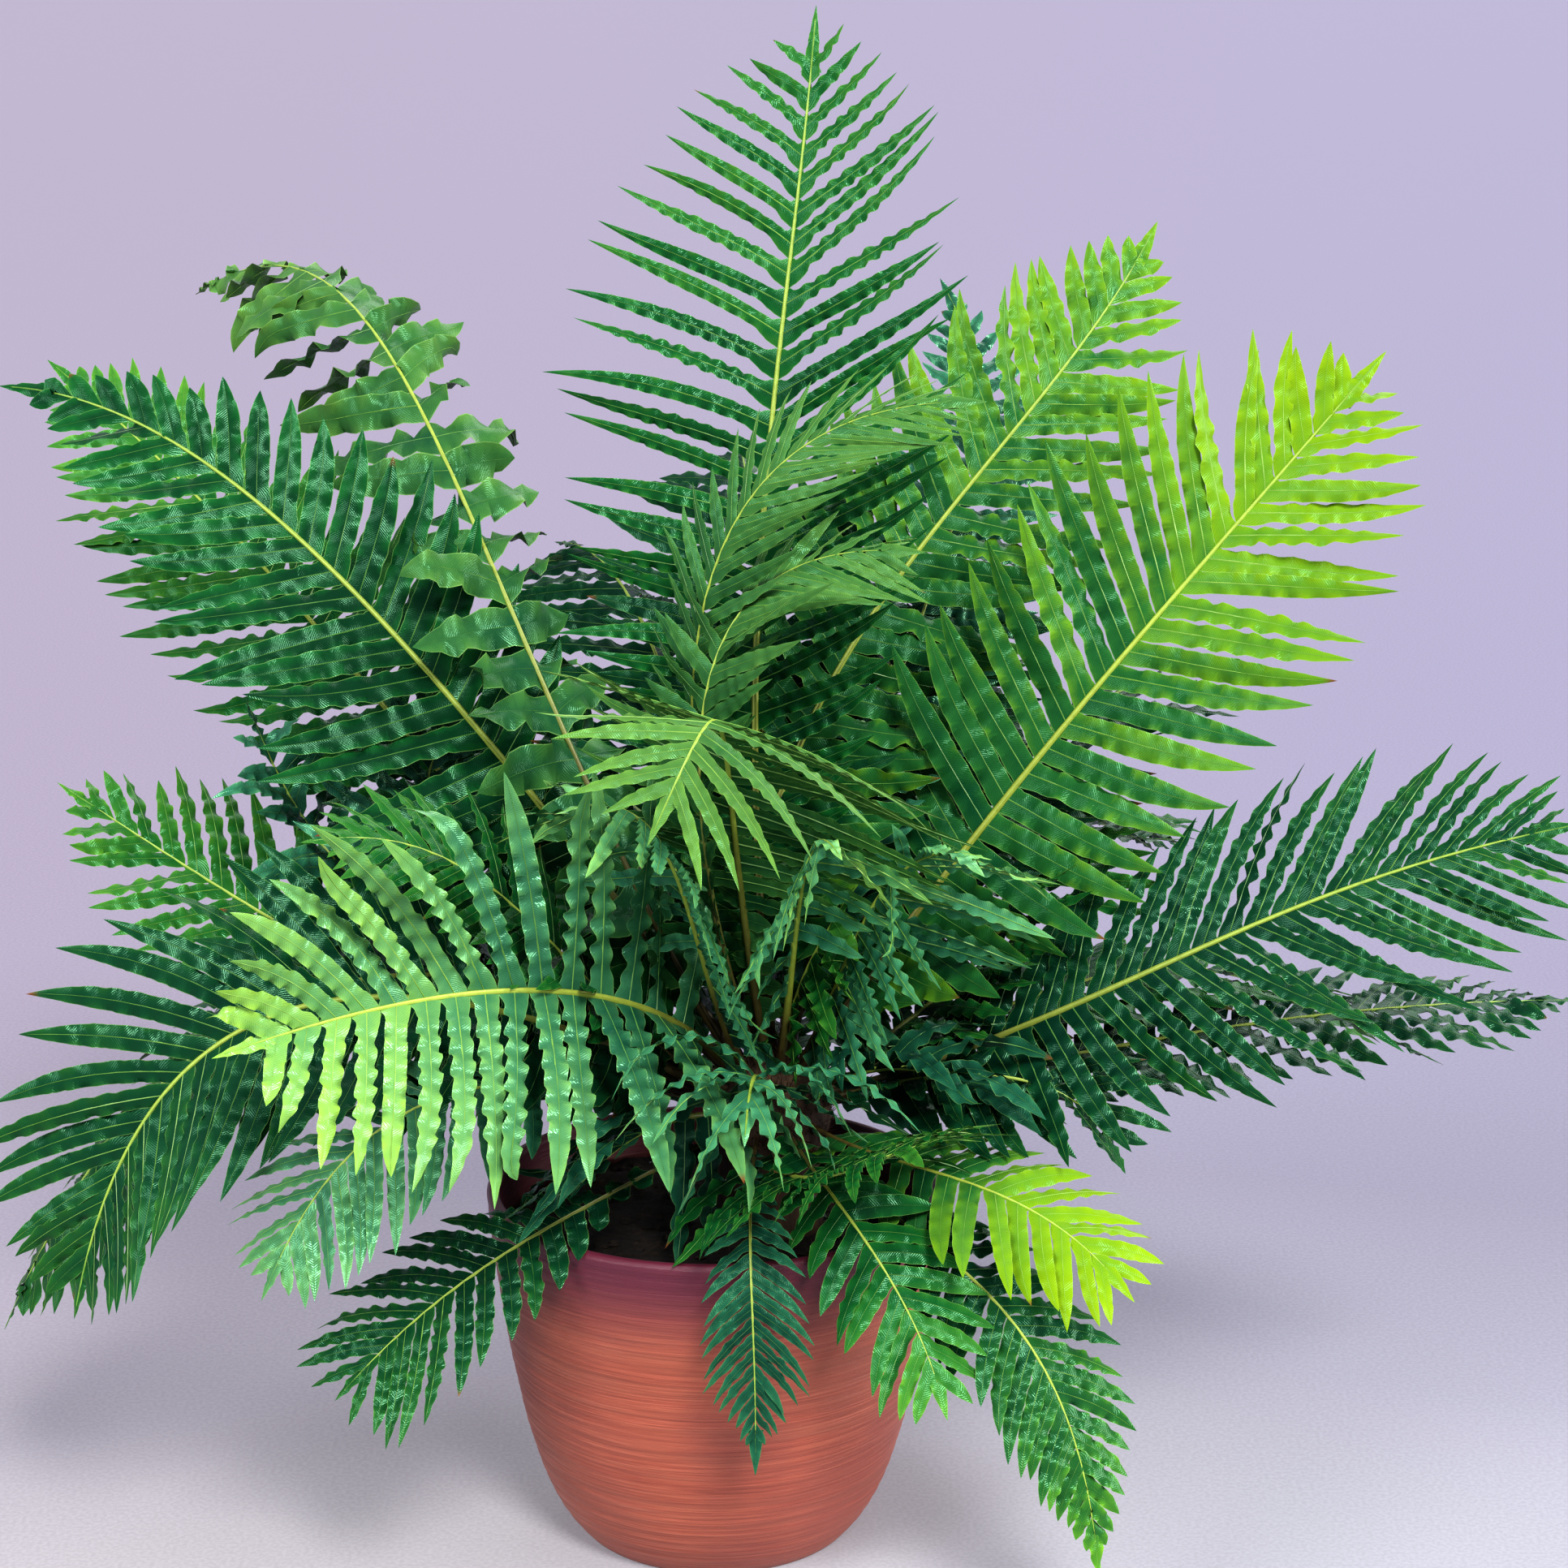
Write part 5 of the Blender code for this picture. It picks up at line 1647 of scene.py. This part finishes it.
def pot_radius(height):
    """Outer radius at a height, the CAD's profile rounded off by averaging over 16 mm."""
    past, flare = ABOVE_RIM
    heights = [h for _, h in POT_OUTER] + [POT_HEIGHT, POT_HEIGHT + past]
    radii = [r for r, _ in POT_OUTER] + [RIM_RADIUS, RIM_RADIUS + flare]
    window = min(POT_ROUNDING, height)
    near = np.linspace(height - window, height + window, 9)
    return float(np.mean(np.interp(near, heights, radii)))


def turning_ring(height):
    """How far the tool's rings stand out at a height. Their pitch drifts a little."""
    drift = RING_DRIFT * math.sin(height * DRIFT_PITCH)
    return RING_DEPTH * math.sin(2 * math.pi * height / RING_PITCH + drift)


def pot_profile():
    """Points from the middle of the floor up the inside, over the lip and down to the foot."""
    outer = [(pot_radius(height) + turning_ring(height), height)
             for height in np.arange(FIRST_RING, POT_HEIGHT - LAST_RING, RING_STEP)]
    roll = POT_WALL / 2
    lip = [(RIM_RADIUS - roll + roll * math.cos(a), POT_HEIGHT - roll + roll * math.sin(a))
           for a in np.radians(np.arange(195, -1, -15))]
    inner = [(pot_radius(height) - POT_WALL, height) for height in INSIDE_HEIGHTS]
    floor_ring = [(inner[0][0] - INSIDE_CORNER, POT_FLOOR)]
    foot = [(POT_OUTER[0][0], 0.0)]
    return [(0.0, POT_FLOOR)] + floor_ring + inner + lip + outer[::-1] + foot + [(0.0, 0.0)]


POT_STEPS = 144
pot_gatherer = Gatherer()
pot_gatherer.add(*turned_rows(pot_profile(), POT_STEPS, np.zeros(3)), 0)
print("pot of", pot_gatherer.count, "points")

# %% Clay finish
CLAY_STOPS = [(0.30, (0.200, 0.042, 0.024)), (0.48, (0.340, 0.078, 0.044)),
              (0.62, (0.440, 0.118, 0.066)), (0.80, (0.560, 0.210, 0.125))]
BAND_COLOUR = (0.270, 0.080, 0.046)
PATCH_COLOUR = (0.170, 0.042, 0.040)
# Painted shade of the fronds above: the pot turns plum toward the lip.
PAINTED_SHADE_LIP_COLOUR = (0.092, 0.009, 0.030)
PAINTED_SHADE_LIP_HEIGHTS = (0.136, 0.188)
PAINTED_SHADE_LIP_SHOW = 0.92
CLAY_ROUGHNESS = (0.52, 0.36)
CLAY_RELIEF = (0.0007, 0.65)
BANDS = (26.0, 4.0, 0.6, (0.35, 0.35, 5.0))
HAIR_LINES = (95.0, 5.0, 0.72, (0.16, 0.16, 9.0))
PATCHES = (9.0, 3.0, 0.5)


def clay_material():
    material, shader = new_material("fired_clay", Metallic=0.0)
    place = add_node(material, "ShaderNodeTexCoord").outputs["Object"]
    height = add_node(material, "ShaderNodeSeparateXYZ", {"Vector": place}).outputs["Z"]
    broad = object_noise(material, *BANDS)
    hair = object_noise(material, *HAIR_LINES)
    patch = object_noise(material, *PATCHES)
    colour = colour_ramp(material, hair, CLAY_STOPS)
    layers = ((map_range(material, broad, 0.35, 0.7, 0.0, 0.55), BAND_COLOUR),
              (map_range(material, patch, 0.35, 0.75, 0.0, 0.5), PATCH_COLOUR),
              # Painted shade toward the lip.
              (map_range(material, height, *PAINTED_SHADE_LIP_HEIGHTS, 0.0, PAINTED_SHADE_LIP_SHOW), PAINTED_SHADE_LIP_COLOUR))
    for share, layer in layers:
        colour = mix_colours(material, share, colour, layer)
    join(material, colour, shader.inputs["Base Color"])
    roughness = map_range(material, hair, 0.3, 0.7, *CLAY_ROUGHNESS)
    join(material, roughness, shader.inputs["Roughness"])
    join(material, bump(material, hair, *CLAY_RELIEF), shader.inputs["Normal"])
    return material


pot_piece = place_piece(pot_gatherer.mesh("turned_pot", [clay_material()]), "fired_clay", "pot")
print("finish of the pot:", pot_piece.data.materials[0].name)

# %% [markdown]
# ## Last measurements
# The box of the CAD part and the box of the fine pieces are printed side by side, with the
# number of triangles. The fine pieces must keep the size of the CAD part.

# %% Print the boxes and finish
visual_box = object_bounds()
triangles = {p.name: sum(len(f.vertices) - 2 for f in p.data.polygons)
             for p in [*frond_pieces, crown_piece, soil_piece, pot_piece]}
print("triangles", sum(triangles.values()), "largest", max(triangles.items(), key=lambda t: t[1]))
for label, box in (("CAD box", cad_box), ("fine box", visual_box)):
    print(label, [[round(v, 3) for v in corner] for corner in box])
